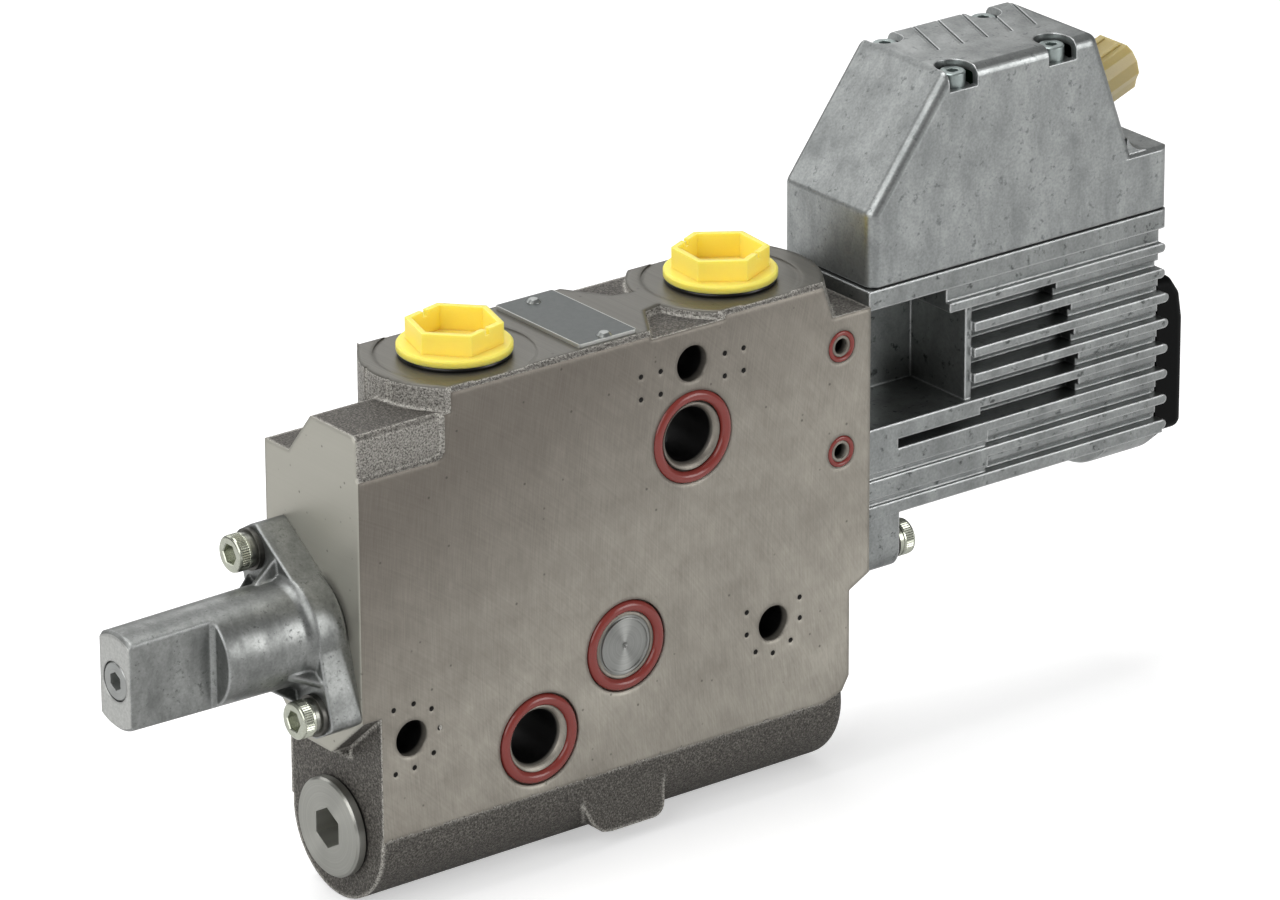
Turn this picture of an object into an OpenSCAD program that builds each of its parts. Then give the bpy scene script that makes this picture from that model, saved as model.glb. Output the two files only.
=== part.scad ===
// Sandwich-mounted hydraulic control valve section with a finned pilot stage.
// Origin: first tie-rod hole on the front sandwich face. X runs from the end cap
// to the pilot stage, Y through the section, Z up.

/* [Valve section] */
// Thickness between the two sandwich faces
body_d = 41; // [40:0.5:46]
// Length from the end-cap face to the pilot-stage face
body_len = 165.7; // [162:0.1:175]
// From the end-cap face to the first tie-rod hole
hole_inset = 15.3; // [14.5:0.1:17]
// Height of the machined top above the first tie-rod hole
top_h = 92.8; // [92:0.2:97]
// Main spool axis above the first tie-rod hole
spool_h = 29.5; // [28.8:0.1:30.5]
// Compensator axis below the first tie-rod hole
comp_drop = 29; // [28.5:0.1:31]
// Step from the top down to the ledge behind the end cap
ledge_step = 6.6; // [5:0.2:9]
// Step from the top down to the low rear of that ledge
rear_ledge_step = 19.1; // [16:0.2:21]
// Step from the top down to the shoulder beside the pilot stage
shoulder_step = 10.4; // [8:0.2:12]
// Thickness of the machined pad under the end cap
pad_t = 6; // [4:0.2:8]
// Radius of the cast barrel round the compensator
barrel_r = 19.9; // [18:0.1:20.2]
// Radius of the rounded end of that barrel
barrel_end_r = 4; // [2:0.5:8]
// Step back of the lower casting from the pilot-stage face
low_step = 6.7; // [4:0.1:8]
// Height of that step
low_step_h = 3.5; // [2:0.1:4.5]
// Rough chamfer along the top edges
edge_c = 1.3; // [0.5:0.1:2]

/* [Sandwich interface] */
// Radius of the tie-rod holes
tie_r = 5; // [4:0.1:5.6]
// Second tie-rod hole from the first, along the section
tie2_x = 118; // [112:0.5:122]
// Second tie-rod hole from the first, upwards
tie2_z = 0.8; // [-1:0.1:2]
// Third tie-rod hole from the first, along the section
tie3_x = 91; // [88:0.5:94]
// Third tie-rod hole below the machined top
tie3_drop = 11.8; // [10.4:0.1:13.8]
// Pump gallery, along the section
pump_x = 91.2; // [89:0.1:93]
// Pump gallery, upwards
pump_z = 60.5; // [59:0.1:62]
// Tank gallery, along the section
tank_x = 40.7; // [38:0.1:43]
// Tank gallery, upwards
tank_z = -11.5; // [-11.5:0.1:-8]
// Neutral gallery, along the section
neutral_x = 69.1; // [67:0.1:72]
// Neutral gallery, upwards
neutral_z = 7.3; // [6:0.1:8.5]
// Radius of the galleries
gallery_r = 7.6; // [6:0.1:7.7]
// Outer radius of the seal grooves round the galleries
groove_r = 12.85; // [12.4:0.05:13.2]
// Radius of the seal ring's section
seal_r = 1.55; // [1.3:0.05:1.7]
// Depth of the seal grooves
groove_t = 2.4; // [1.9:0.05:2.8]
// Pilot galleries from the pilot-stage face
small_inset = 9.65; // [8.5:0.05:11.5]
// Upper pilot gallery below the machined top
small_drop = 19.1; // [17.8:0.1:22.8]
// Lower pilot gallery, upwards
small_lo = 44; // [42:0.1:47]
// Radius of the pilot galleries
small_r = 2.2; // [1.5:0.1:2.4]
// Outer radius of their seal grooves
small_groove_r = 4.5; // [4.3:0.05:5]
// Radius of their seal ring's section
small_seal_r = 0.75; // [0.6:0.05:0.8]

/* [Work ports] */
// Port A axis along the section
port_a_x = 30.05; // [29:0.05:31]
// Port B axis along the section
port_b_x = 116.3; // [115:0.1:118]
// Thread radius of the work ports
port_r = 12.4; // [11:0.1:12.8]
// Depth of the port thread
port_t = 24; // [20:0.5:26]
// Radius of the spot face
spot_r = 21; // [19:0.1:22]
// Radius of the boss on the end-cap side
boss_a_r = 24.9; // [24:0.1:26]
// Radius of the boss on the pilot side
boss_b_r = 26.9; // [25.5:0.1:27.2]

/* [Transport plugs] */
// Radius of the plug's flange
plug_flange_r = 15.1; // [14.5:0.1:17]
// Thickness of the flange
plug_flange_t = 2; // [1.5:0.1:3]
// Height of the hexagonal cup over the flange
plug_cup_h = 5.7; // [5:0.1:8]
// Across corners of the cup, as a radius
plug_hex_r = 12.9; // [11.5:0.1:13.5]
// Wall of the cup
plug_wall = 1.5; // [1.2:0.1:2]
// Length of the plug's stem in the port
plug_stem = 14; // [12:0.5:18]
// Turn of the hexagon on port A
plug_turn_a = 13.5; // [0:0.5:59]
// Turn of the hexagon on port B
plug_turn_b = 25; // [0:0.5:59]
// Thickness of the ring under the flange
plug_ring_t = 1.35; // [1:0.05:1.6]

/* [Main spool] */
// Radius of the spool bore
spool_bore_r = 9; // [8.5:0.1:9.2]
// Radial running clearance of the sliding parts
slide_gap = 0.02; // [0.01:0.005:0.05]
// Travel to each side
spool_travel = 7; // [4:0.5:7.5]
// Radius of the ring chambers
chamber_r = 13; // [12.5:0.1:13.5]
// Length of the ring chambers
chamber_w = 9; // [8:0.1:9.4]
// Radius of the spool between its lands
waist_r = 6; // [5:0.1:7]
// Overlap of the lands in neutral
overlap = 1.5; // [0.8:0.1:1.7]
// How far the spool stands out into the end cap at rest
spool_out = 7; // [5:0.1:9]
// Room for the spring on the pilot side
spring_room = 24; // [20:0.5:24.5]

/* [End cap] */
// Length of the cap
cap_len = 61.3; // [58:0.1:66]
// Thickness of its flange
cap_flange_t = 9.4; // [8:0.1:11]
// Radius of its barrel at the tip
cap_r = 13.2; // [12.8:0.1:14]
// Growth of that radius towards the flange
cap_draft = 0.7; // [0:0.1:1]
// Length of the flats
flat_len = 24.7; // [18:0.1:26]
// Width across the flats
flat_w = 13; // [12:0.1:16]
// Radius of the spring chamber
cap_bore_r = 10.5; // [9.8:0.1:10.7]
// Depth of the spring chamber from the flange face
cap_bore_t = 31; // [29:0.5:33]
// Screw axes from the spool axis, across
screw_dy = 13.5; // [13.4:0.1:13.7]
// Screw axes from the spool axis, upwards
screw_dz = 18.5; // [18:0.1:19]
// Radius of the flange round the barrel
flange_r = 14.6; // [14.5:0.1:15.2]
// Radius of the flange's corners
flange_corner_r = 2.4; // [1.5:0.1:2.4]
// Reach of the webs between barrel and flange, from the spool axis
web_r = 19; // [17:0.1:19.2]
// Length of the webs on the barrel
web_len = 9.5; // [6:0.5:12]

/* [Screws] */
// Radius of the M6 thread
m6_r = 3; // [2.5:0.5:3]
// Radius of its low head
m6_head_r = 5; // [4.5:0.1:5.2]
// Height of its low head
m6_head_h = 4; // [3:0.1:4.5]
// Across flats of its socket
m6_socket = 5; // [4:0.5:5.5]
// Thread engagement of the M6 screws
m6_grip = 12; // [9:0.5:12.5]
// Thickness of the washers
washer_t = 1.6; // [1.2:0.1:2]
// Radius of the M4 thread
m4_r = 2; // [1.5:0.25:2.25]
// Radius of its head
m4_head_r = 3.5; // [3:0.1:3.8]
// Height of its head
m4_head_h = 4; // [3:0.1:4.4]

/* [Compensator] */
// Radius of the compensator bore
comp_r = 8; // [7:0.1:8]
// Depth of the compensator bore
comp_t = 84; // [82:0.5:90]
// Travel of the compensator spool
comp_travel = 4; // [2:0.5:5]
// Radius of the locking plug's thread
lock_r = 12; // [11:0.1:12.4]
// Length of the locking plug's thread
lock_t = 13; // [10:0.5:15]
// Radius of its head
lock_head_r = 13.5; // [13:0.1:15]
// Height of its head
lock_head_h = 3.4; // [2.5:0.1:5]
// Across flats of its socket
lock_socket = 10; // [8:0.5:12]

/* [Type plate] */
// Left edge of the plate
plate_x = 56.2; // [55.5:0.1:57]
// Width of the plate
plate_w = 18.6; // [16:0.1:19]
// Depth of the plate
plate_d = 36.3; // [33:0.1:37]
// Thickness of the plate
plate_t = 1; // [0.5:0.1:1.5]

/* [Pilot housing] */
// Length of the housing
pilot_len = 103.1; // [101:0.1:110]
// Front of the fins behind the sandwich face
pilot_in = 0.5; // [0.2:0.1:1]
// Depth of the housing
pilot_d = 38.4; // [38.2:0.1:39.5]
// Bottom of the housing
pilot_bottom = 21.4; // [21:0.1:21.8]
// Height of the first fin's top
fin_top = 25; // [24.5:0.1:25.5]
// Pitch of the fins
fin_pitch = 7.39; // [7.3:0.01:7.45]
// Thickness of a fin
fin_t = 2.6; // [2:0.1:3]
// How far the fins run past the end wall
fin_over = 1.5; // [0.8:0.1:2.5]
// Depth of the floor between the fins
fin_floor = 1.6; // [1:0.1:2.2]
// Depth of the groove above each fin
fin_groove = 3; // [2.3:0.1:3.2]
// Height of the groove above each fin
groove_h = 2.1; // [1.5:0.1:2.4]
// Depth of the through slots
slot_t = 7; // [5:0.1:7.2]
// Height of the top of the housing
deck_z = 86.4; // [85.6:0.1:87]
// Thickness of the top rim
rim_t = 5.3; // [4.8:0.1:5.6]
// Length of the window beside the valve section
window_len = 34.3; // [30:0.1:34.5]
// Depth of the window
window_d = 24.5; // [22:0.1:24.5]
// Web between the window and the slots
web_t = 2; // [1.8:0.1:3]
// Length of the screw lugs
lug_len = 10.8; // [9.5:0.1:12]
// Radius of the lower screw lug
lug_r = 6.4; // [6:0.1:6.8]
// Lower screw below the spool axis
pilot_low = 18.7; // [18.5:0.1:18.8]
// Upper screw above the spool axis
pilot_high = 29.5; // [28:0.1:31]
// Lowest point of the bulge under the far end
bulge_z = 11.5; // [10:0.1:14]
// Radius of that bulge
bulge_r = 22; // [20:0.5:24]
// Length of that bulge along the housing
bulge_len = 17.5; // [14:0.5:22]

/* [Pilot valve] */
// Axis of the solenoid
coil_z = 50; // [49.6:0.1:50.2]
// Radius of the solenoid chamber
coil_bore_r = 11.7; // [11:0.1:11.8]
// Length of the solenoid chamber
coil_bore_t = 26.5; // [25.5:0.1:27.5]
// Radius of the pilot spool
pilot_r = 3.5; // [3:0.1:4]
// Travel of the pilot spool
pilot_travel = 2; // [1:0.5:2.5]
// Radius of the sensor coil's chamber
sensor_bore_r = 7.7; // [7:0.1:7.8]
// Radius of the sensor tube
tube_r = 4.5; // [4:0.1:5]

/* [Rear cap] */
// Length of the rear cap
rear_len = 11; // [10:0.1:12.5]
// Bottom of the rear cap
rear_bottom = 19.2; // [18.8:0.1:19.6]
// Top of the rear cap
rear_top = 64.6; // [63.8:0.1:66]
// Depth of the rear cap
rear_d = 33; // [32:0.5:33.5]
// Wall of the rear cap
rear_wall = 2; // [1.5:0.1:2.4]

/* [Electronics cover] */
// Front of the cover behind the sandwich face
cover_in = 0.9; // [0.7:0.1:1.3]
// Depth of the cover
cover_d = 37.8; // [37.2:0.1:37.9]
// Height of the top
cover_top = 141.4; // [138:0.2:146]
// Height of the crease in the left wall
crease_z = 107.4; // [104:0.2:111]
// Left edge of the top, from the left wall
top_from = 25.5; // [22:0.1:28]
// Length of the top
top_len = 51.7; // [50:0.1:56]
// Lean of the rear wall from the vertical
rear_lean = 20.2; // [17:0.1:22]
// Height of the low block's top
block_z = 104.6; // [102:0.2:108]
// Edge radius
cover_r = 3.2; // [3:0.1:4]
// Wall of the cover
cover_wall = 2.2; // [1.8:0.1:2.6]
// Thickness of the gasket under the cover
gasket_t = 0.6; // [0.4:0.1:1]
// Depth of the screw notches below the top
notch_t = 5.4; // [4.8:0.1:6.5]
// Radius of the screw notches
notch_r = 4.8; // [4.6:0.1:5.2]
// First cover screw from the start of the top
screw_from = 5.4; // [5.2:0.1:7]
// Pitch of the cover screws along the top
screw_pitch = 34; // [30:0.5:38]

/* [Connector] */
// Width of the connector's mouth
plug_w = 16.2; // [15.6:0.1:17]
// Height of the connector's mouth
plug_h = 14.4; // [13.6:0.1:15]
// How far it stands out of the rear wall
plug_out = 16.5; // [14:0.1:20]
// Wall of its shell
shell_t = 1.5; // [1.2:0.1:1.8]
// Its centre below the top, along the rear wall
plug_down = 25.4; // [24.6:0.1:26.2]

/* [Hidden] */
$fn = 64;
hull_fn = 32;
eps = 0.5;
face_gap = 0.3;
x_l = -hole_inset;
x_r = body_len - hole_inset;
cy = body_d / 2;
low_x = x_l + pad_t;
low_end = x_r - low_step;
low_z = -27;
ledge_z = top_h - ledge_step;
rear_ledge_z = top_h - rear_ledge_step;
shoulder_z = top_h - shoulder_step;
scallop_t = 2.1;
recess_x = 11;
recess_h = 11.2;
recess_t = 1;
spot_t = 0.35;
port_step_r = 8;
cross_r = 5;
groove_in_r = groove_r - 2 * seal_r - 0.55;
small_in_r = small_groove_r - 2 * small_seal_r - 0.1;
lip_back = 0.5;
disc_r = 8.3;
disc_t = 5;
tank_ring_x = port_a_x + 16;
ring_x = [port_a_x, tank_ring_x, neutral_x, pump_x, port_b_x];
punch_low = [[-5.5, 9.2], [0.8, 9.4], [6.4, 6.5], [8.9, 0.5], [6.9, -6], [0.8, -8.5], [-5.2, -8.8]];
punch_far = [[-8.9, 5.3], [-8.9, -1.1], [-5.9, -6.8], [-0.1, -8.6], [5.9, -6.5], [9, -0.9], [8.9, 5.1]];
punch_top = [for (x = [-16.6, -10.2, 10.8, 17], z = [-6.1, 0.2]) [x, z]];
tie3_z = top_h - tie3_drop;
small_x = x_r - small_inset;
small_hi = top_h - small_drop;
tap_t = m6_grip + 2;
m6_free_r = m6_r + 0.3;
m6_core_r = m6_r + 0.03;
m4_free_r = m4_r + 0.25;

cap_tip = x_l - cap_len;
cap_flange_x = x_l - cap_flange_t;
cap_seat_x = x_l - cap_bore_t;
spool_l = x_l - spool_out;
spool_r0 = x_r - spring_room;
spool_r = spool_bore_r - slide_gap;

lock_seat = low_x;
comp_end = low_x + comp_t;
comp_spool_r = comp_r - slide_gap;
comp_spring = 16;
comp_spool_x = lock_seat + lock_t + comp_spring;

rod_r = 1.5;
rod_grip = 8;
core_r = 2.3;
core_len = 14;
tube_in_r = 2.7;
tube_wall = 1;

pf = pilot_in;
pb = pilot_in + pilot_d;
pilot_end = x_r + pilot_len;
fin_end = pilot_end + fin_over;
rim_z = deck_z - rim_t;
coil_x = pilot_end - coil_bore_t;
sensor_x = coil_x - 2;
slot_x = x_r + window_len + web_t;
fin_count = 8;
window_z = fin_z(3);
window_step = 6.7;
bulge_x = pilot_end - bulge_len;
boss_r = 13.3;
cap_screw_at = [for (s = [-1, 1]) [cy + s * screw_dy, spool_h + s * screw_dz]];
pilot_screw_at = [[cy - screw_dy, spool_h - pilot_low], [cy + screw_dy, spool_h + pilot_high]];
head_x = x_r + lug_len + 2 * washer_t;
solenoid_fit = 0.15;
rear_gap = 0.4;
rear_x = pilot_end + face_gap + 0.2;
pilot_x = slot_x + 3.5;
pilot_spring = 7;
pilot_spool_x = pilot_x + pilot_spring;
pole_x = coil_x + 0.2;
pole_r = 6.5;
pole_len = coil_bore_t - 1.5;
arm_r = 5;
arm_room = 4 + pilot_travel;

cf = cover_in;
cb = cover_in + cover_d;
cover_z = deck_z + gasket_t;
cover_l = x_r + 0.9;
rim_end = pilot_end + 0.6;
cover_r0 = rim_end + 0.6;
lean_x = (cover_top - cover_z) * tan(rear_lean);
top_l = cover_l + top_from;
top_r = top_l + top_len;
wall_dir = [sin(rear_lean), 0, -cos(rear_lean)];
plug_dir = [cos(rear_lean), 0, sin(rear_lean)];
plug_at = [top_r, (cf + cb) / 2, cover_top] + plug_down * wall_dir;
screw_x = [top_l + screw_from, top_l + screw_from + screw_pitch];
screw_in = 4.9;
board_t = 1.6;

// Height of the top of a fin, counted from the bottom
function fin_z(k) = fin_top + k * fin_pitch;

// Point where two lines, each given by a point and a direction, cross
function cross2(a, b) = a[0] * b[1] - a[1] * b[0];
function meet(p, u, q, v) = p + u * cross2(q - p, v) / cross2(u, v);

// Outline moved inwards by a distance; its corners run clockwise
function inward(u) = [u[1], -u[0]] / norm(u);
function inset(pts, t) = [for (i = [0:len(pts) - 1])
    let (a = pts[(i + len(pts) - 1) % len(pts)], b = pts[i], c = pts[(i + 1) % len(pts)])
    meet(b + t * inward(b - a), b - a, b + t * inward(c - b), c - b)];

// Solid turned about a line along X; each point is a radius and an x
module turned(points, y, z) {
    translate([0, y, z]) rotate([0, 90, 0]) rotate_extrude() polygon(points);
}

// Round bar along X
module bar_x(r, x0, x1, y, z) {
    translate([x0, y, z]) rotate([0, 90, 0]) cylinder(r = r, h = x1 - x0);
}

// Tube along X
module tube_x(r, r_in, x0, x1, y, z) {
    difference() {
        bar_x(r, x0, x1, y, z);
        bar_x(r_in, x0 - eps, x1 + eps, y, z);
    }
}

// Round bar along Y
module bar_y(r, y0, y1, x, z) {
    translate([x, y0, z]) rotate([-90, 0, 0]) cylinder(r = r, h = y1 - y0);
}

// Ring of round section about a line along Y
module ring_y(r, wire, y, x, z) {
    translate([x, y, z]) rotate([-90, 0, 0]) rotate_extrude() translate([r, 0]) circle(wire, $fn = 32);
}

// Ring of round section about a line along X
module ring_x(r, wire, x, y, z) {
    translate([x, y, z]) rotate([0, 90, 0]) rotate_extrude() translate([r, 0]) circle(wire, $fn = 32);
}

// Outline in X and Z, carried along Y
module slab_y(points, y0, y1) {
    translate([0, y1, 0]) rotate([90, 0, 0]) linear_extrude(y1 - y0) polygon(points);
}

// Outline in Y and Z, carried along X
module slab_x(points, x0, x1) {
    translate([x0, 0, 0]) rotate([90, 0, 90]) linear_extrude(x1 - x0) polygon(points);
}

// Box from corner to corner
module box(a, b) {
    translate(a) cube(b - a);
}

// Box with four rounded upright edges
module round_box(a, b, r) {
    box([a[0] + r, a[1], a[2]], [b[0] - r, b[1], b[2]]);
    box([a[0], a[1] + r, a[2]], [b[0], b[1] - r, b[2]]);
    for (x = [a[0] + r, b[0] - r], y = [a[1] + r, b[1] - r])
        translate([x, y, a[2]]) cylinder(r = r, h = b[2] - a[2]);
}

// Cutter that chamfers an edge along X
module chamfer_x(x0, x1, y, z, c) {
    side = c * sqrt(2);
    translate([x0, y, z]) rotate([45, 0, 0]) translate([0, -side / 2, -side / 2])
        cube([x1 - x0, side, side]);
}

// Copies the children to the mirrored side of the section
module both_faces() {
    children();
    translate([0, body_d, 0]) mirror([0, 1, 0]) children();
}

// Low head socket screw along X with its head towards -X; x is the head's underside
module m6_screw(x, grip, y, z) {
    difference() {
        turned([[0, x + grip], [m6_r - 0.6, x + grip], [m6_r, x + grip - 0.6], [m6_r, x],
            [m6_head_r, x], [m6_head_r, x - m6_head_h + 0.4], [m6_head_r - 0.4, x - m6_head_h],
            [0, x - m6_head_h]], y, z);
        translate([x - m6_head_h - eps, y, z]) rotate([0, 90, 0])
            cylinder(r = m6_socket / sqrt(3), h = 2.4 + eps, $fn = 6);
    }
}

// Split spring washer along X
module split_washer(x, y, z) {
    difference() {
        tube_x(m6_head_r - 0.2, m6_r + 0.1, x, x + washer_t, y, z);
        translate([x - eps, y, z]) rotate([20, 0, 0]) translate([0, 0, -0.4])
            cube([washer_t + 2 * eps, m6_head_r + 1, 0.8]);
    }
}

// Round wire wound into a compression spring along X
module spring(x0, x1, r, wire, turns, y, z) {
    sides = 8;
    steps = 16;
    count = round(turns * steps);
    function centre(i) = let (a = 360 * i / steps)
        [x0 + wire + (x1 - x0 - 2 * wire) * i / count, y + r * cos(a), z + r * sin(a)];
    points = [for (i = [0:count]) let (a = 360 * i / steps)
        for (j = [0:sides - 1]) let (b = 360 * j / sides)
            centre(i) + wire * [cos(b), sin(b) * cos(a), sin(b) * sin(a)]];
    around = [for (i = [0:count - 1]) for (j = [0:sides - 1]) let (k = (j + 1) % sides)
        [i * sides + j, i * sides + k, (i + 1) * sides + k, (i + 1) * sides + j]];
    first = [for (j = [0:sides - 1]) sides - 1 - j];
    last = [for (j = [0:sides - 1]) count * sides + j];
    polyhedron(points, concat([first], around, [last]), convexity = 10);
}

// Plan outline of the boss round port A, cut off by the cast flat
module boss_a() {
    intersection() {
        union() {
            translate([port_a_x, cy, rear_ledge_z - 4])
                cylinder(r = boss_a_r, h = top_h - rear_ledge_z + 4);
            both_faces() translate([0, 0, rear_ledge_z - 4]) linear_extrude(top_h - rear_ledge_z + 4)
                polygon([[port_a_x - boss_a_r + 0.5, cy - 5.6], [port_a_x - boss_a_r + 8.8, 0],
                    [port_a_x, 0], [port_a_x, cy - 5.6]]);
        }
        box([x_l, 0, 0], [x_r, body_d, top_h]);
    }
}

// Drafted boss round port B
module boss_b() {
    intersection() {
        translate([port_b_x, cy, shoulder_z - 1])
            cylinder(r1 = boss_b_r + 2.8, r2 = boss_b_r, h = shoulder_step + 1);
        box([x_l, 0, 0], [x_r, body_d, top_h]);
    }
}

// Cast barrel round the compensator, with its rounded end
module barrel() {
    edge = low_end - barrel_end_r;
    turned(concat([[0, low_x], [barrel_r, low_x]],
        [for (a = [0:10:90]) [barrel_r - barrel_end_r * (1 - cos(a)), edge + barrel_end_r * sin(a)]],
        [[0, low_end]]), cy, -comp_drop);
}

// Cast pad under the front of the barrel, run out to the left and rounded at the right
module barrel_pad() {
    r = 3.5;
    x0 = 64.5;
    x1 = 82.2;
    bottom = -comp_drop - 15.9;
    slab_y(concat([[x0 - 9, low_z], [x0 - 9, bottom + 9], [x0 - 5.6, bottom + 2.7], [x0 - 3, bottom + 0.7],
        [x0, bottom]], [for (a = [0:15:90]) [x1 - r + r * sin(a), bottom + r - r * cos(a)]],
        [[x1, low_z]]), 1, cy);
}

// Casting before any hole is machined
module casting() {
    slab_y([[low_x, low_z], [low_x, tank_z + 3.5], [x_l, tank_z + 7], [x_l, rear_ledge_z],
        [port_a_x, rear_ledge_z], [port_a_x, top_h], [port_b_x, top_h], [port_b_x, shoulder_z],
        [x_r, shoulder_z], [x_r, low_step_h + 3.6], [low_end, low_step_h],
        [low_end, low_z + 6], [low_end - 2.3, low_z + 2], [low_end - 8, low_z]], 0, body_d);
    slab_x([[0, rear_ledge_z - 4], [0, ledge_z], [cy, ledge_z], [cy + 10, rear_ledge_z],
        [cy + 10, rear_ledge_z - 4]], x_l, port_a_x);
    boss_a();
    boss_b();
    barrel();
    barrel_pad();
}

// Lower corner that is cut off the pad under the end cap
module pad_corner() {
    slab_x([[-1, 8.9], [0, 8], [cy - 6.5, tank_z + 7], [cy - 6.5, tank_z - 2], [-1, tank_z - 2]],
        x_l - 1, low_x);
}

// Sloped recess in the front under the ledge
module front_recess() {
    r = 2;
    hull() for (x = [x_l - 4, recess_x - r], z = [ledge_z - recess_h + r, ledge_z + 4])
        translate([x, -eps, z]) rotate([-90, 0, 0])
            cylinder(r1 = r + recess_t + eps, r2 = r, h = recess_t + eps, $fn = hull_fn);
    chamfer_x(x_l - 1, recess_x, recess_t, ledge_z, 1.3);
}

// Shallow pocket between the type plate and the boss of port B
module scallop() {
    difference() {
        translate([0, 0, top_h - scallop_t]) linear_extrude(scallop_t + 1)
            polygon([[plate_x + plate_w + 2, -1], [plate_x + plate_w + 2.6, 0],
                [plate_x + plate_w + 11.3, cy - 6.8], [port_b_x, cy], [port_b_x, -1]]);
        translate([port_b_x, cy, top_h - scallop_t - 1]) cylinder(r = boss_a_r, h = scallop_t + 3);
    }
}

// Groove, sharp lip and gallery that open on the front sandwich face
module seal_groove(x, z, r, groove, inner, depth, back) {
    difference() {
        bar_y(groove, -1, depth, x, z);
        bar_y(inner, back, depth + 1, x, z);
    }
    bar_y(r, -1, body_d + 1, x, z);
}

// Work port: spot face, mouth cone, thread and drilling down to its chamber
module work_port(x) {
    translate([x, cy, top_h - spot_t]) cylinder(r = spot_r, h = 2);
    translate([x, cy, top_h - port_t]) cylinder(r = port_r, h = port_t + 1);
    translate([x, cy, top_h - spot_t - 2]) cylinder(r1 = port_r, r2 = port_r + 1.4, h = 2.01);
    translate([x, cy, spool_h]) cylinder(r = port_step_r, h = top_h - spool_h - port_t + 1);
}

// Spool bore with its ring chambers
module spool_bore() {
    bar_x(spool_bore_r, x_l - 1, x_r + 1, cy, spool_h);
    for (x = ring_x) bar_x(chamber_r, x - chamber_w / 2, x + chamber_w / 2, cy, spool_h);
}

// Drillings that join the galleries to the chambers
module drillings() {
    translate([pump_x, cy, spool_h + chamber_r - 1]) cylinder(r = cross_r, h = pump_z - spool_h - chamber_r);
    translate([neutral_x, cy, neutral_z]) cylinder(r = cross_r, h = spool_h - neutral_z - chamber_r + 1);
    translate([tank_x + 2.3, cy, tank_z]) cylinder(r = cross_r, h = spool_h - tank_z - chamber_r + 1);
    translate([neutral_x, cy, -comp_drop]) cylinder(r = cross_r - 1, h = comp_drop + neutral_z);
}

// Centre punch marks round a tie-rod hole
module punch_marks(x, z, at) {
    for (p = at) translate([x + p[0], -0.1, z + p[1]]) rotate([-90, 0, 0])
        cylinder(r1 = 0.95, r2 = 0.15, h = 0.9, $fn = 16);
}

// Bore and thread for the compensator and its locking plug
module comp_bore() {
    bar_x(comp_r, low_x - 1, comp_end, cy, -comp_drop);
    bar_x(lock_r + 0.03, low_x - 1, low_x + lock_t + 1, cy, -comp_drop);
}

module valve_body() {
    color([0.58, 0.56, 0.52]) difference() {
        casting();
        both_faces() pad_corner();
        both_faces() scallop();
        both_faces() chamfer_x(port_a_x - boss_a_r + 8.8, x_r, 0, top_h, edge_c);
        front_recess();
        both_faces() translate([port_a_x - boss_a_r + 0.2, cy - 4.8, ledge_z])
            cylinder(r = 0.7, h = ledge_step + 1, $fn = 24);
        for (p = [[0, 0], [tie2_x, tie2_z], [tie3_x, tie3_z]]) bar_y(tie_r, -1, body_d + 1, p[0], p[1]);
        for (p = [[pump_x, pump_z], [tank_x, tank_z]]) {
            seal_groove(p[0], p[1], gallery_r, groove_r, groove_in_r, groove_t, lip_back);
            translate([p[0], lip_back, p[1]]) rotate([-90, 0, 0])
                cylinder(r1 = groove_in_r - 0.2, r2 = gallery_r, h = 1.8);
        }
        seal_groove(neutral_x, neutral_z, gallery_r, groove_r, groove_in_r, groove_t, lip_back);
        bar_y(disc_r + 0.05, -1, disc_t + 0.2, neutral_x, neutral_z);
        for (z = [small_hi, small_lo])
            seal_groove(small_x, z, small_r, small_groove_r, small_in_r, 1.3, lip_back / 2);
        work_port(port_a_x);
        work_port(port_b_x);
        spool_bore();
        drillings();
        comp_bore();
        for (p = cap_screw_at) bar_x(m6_core_r, x_l - 1, x_l + tap_t, p[0], p[1]);
        for (p = pilot_screw_at) bar_x(m6_core_r, x_r - tap_t, x_r + 1, p[0], p[1]);
        for (y = [4, plate_d - 2]) translate([plate_x + plate_w / 2, y, top_h - 4]) cylinder(r = 1.2, h = 5);
        punch_marks(0, 0, punch_low);
        punch_marks(tie2_x, tie2_z, punch_far);
        punch_marks(tie3_x, tie3_z, punch_top);
    }
}

// Lands and waists of the main spool; the waists lie between the ring chambers
module main_spool() {
    half = chamber_w / 2 + overlap;
    waists = [for (i = [0:len(ring_x) - 2]) [ring_x[i] + half, ring_x[i + 1] - half]];
    slope = 1;
    outline = concat([[0, spool_l], [spool_r - 1, spool_l], [spool_r, spool_l + 1]],
        [for (w = waists) each [[spool_r, w[0]], [waist_r, w[0] + slope], [waist_r, w[1] - slope],
            [spool_r, w[1]]]],
        [[spool_r, spool_r0 - 1], [spool_r - 1, spool_r0], [0, spool_r0]]);
    color([0.78, 0.79, 0.8]) difference() {
        turned(outline, cy, spool_h);
        bar_x(rod_r, spool_r0 - rod_grip, spool_r0 + 1, cy, spool_h);
    }
}

module spool_spring_cap_side() {
    color([0.35, 0.36, 0.38]) spring(cap_seat_x, spool_l, 6.8, 1.2, 4.5, cy, spool_h);
}

module spool_spring_pilot_side() {
    color([0.35, 0.36, 0.38]) spring(spool_r0, x_r, 6.8, 1.2, 4.5, cy, spool_h);
}

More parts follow.
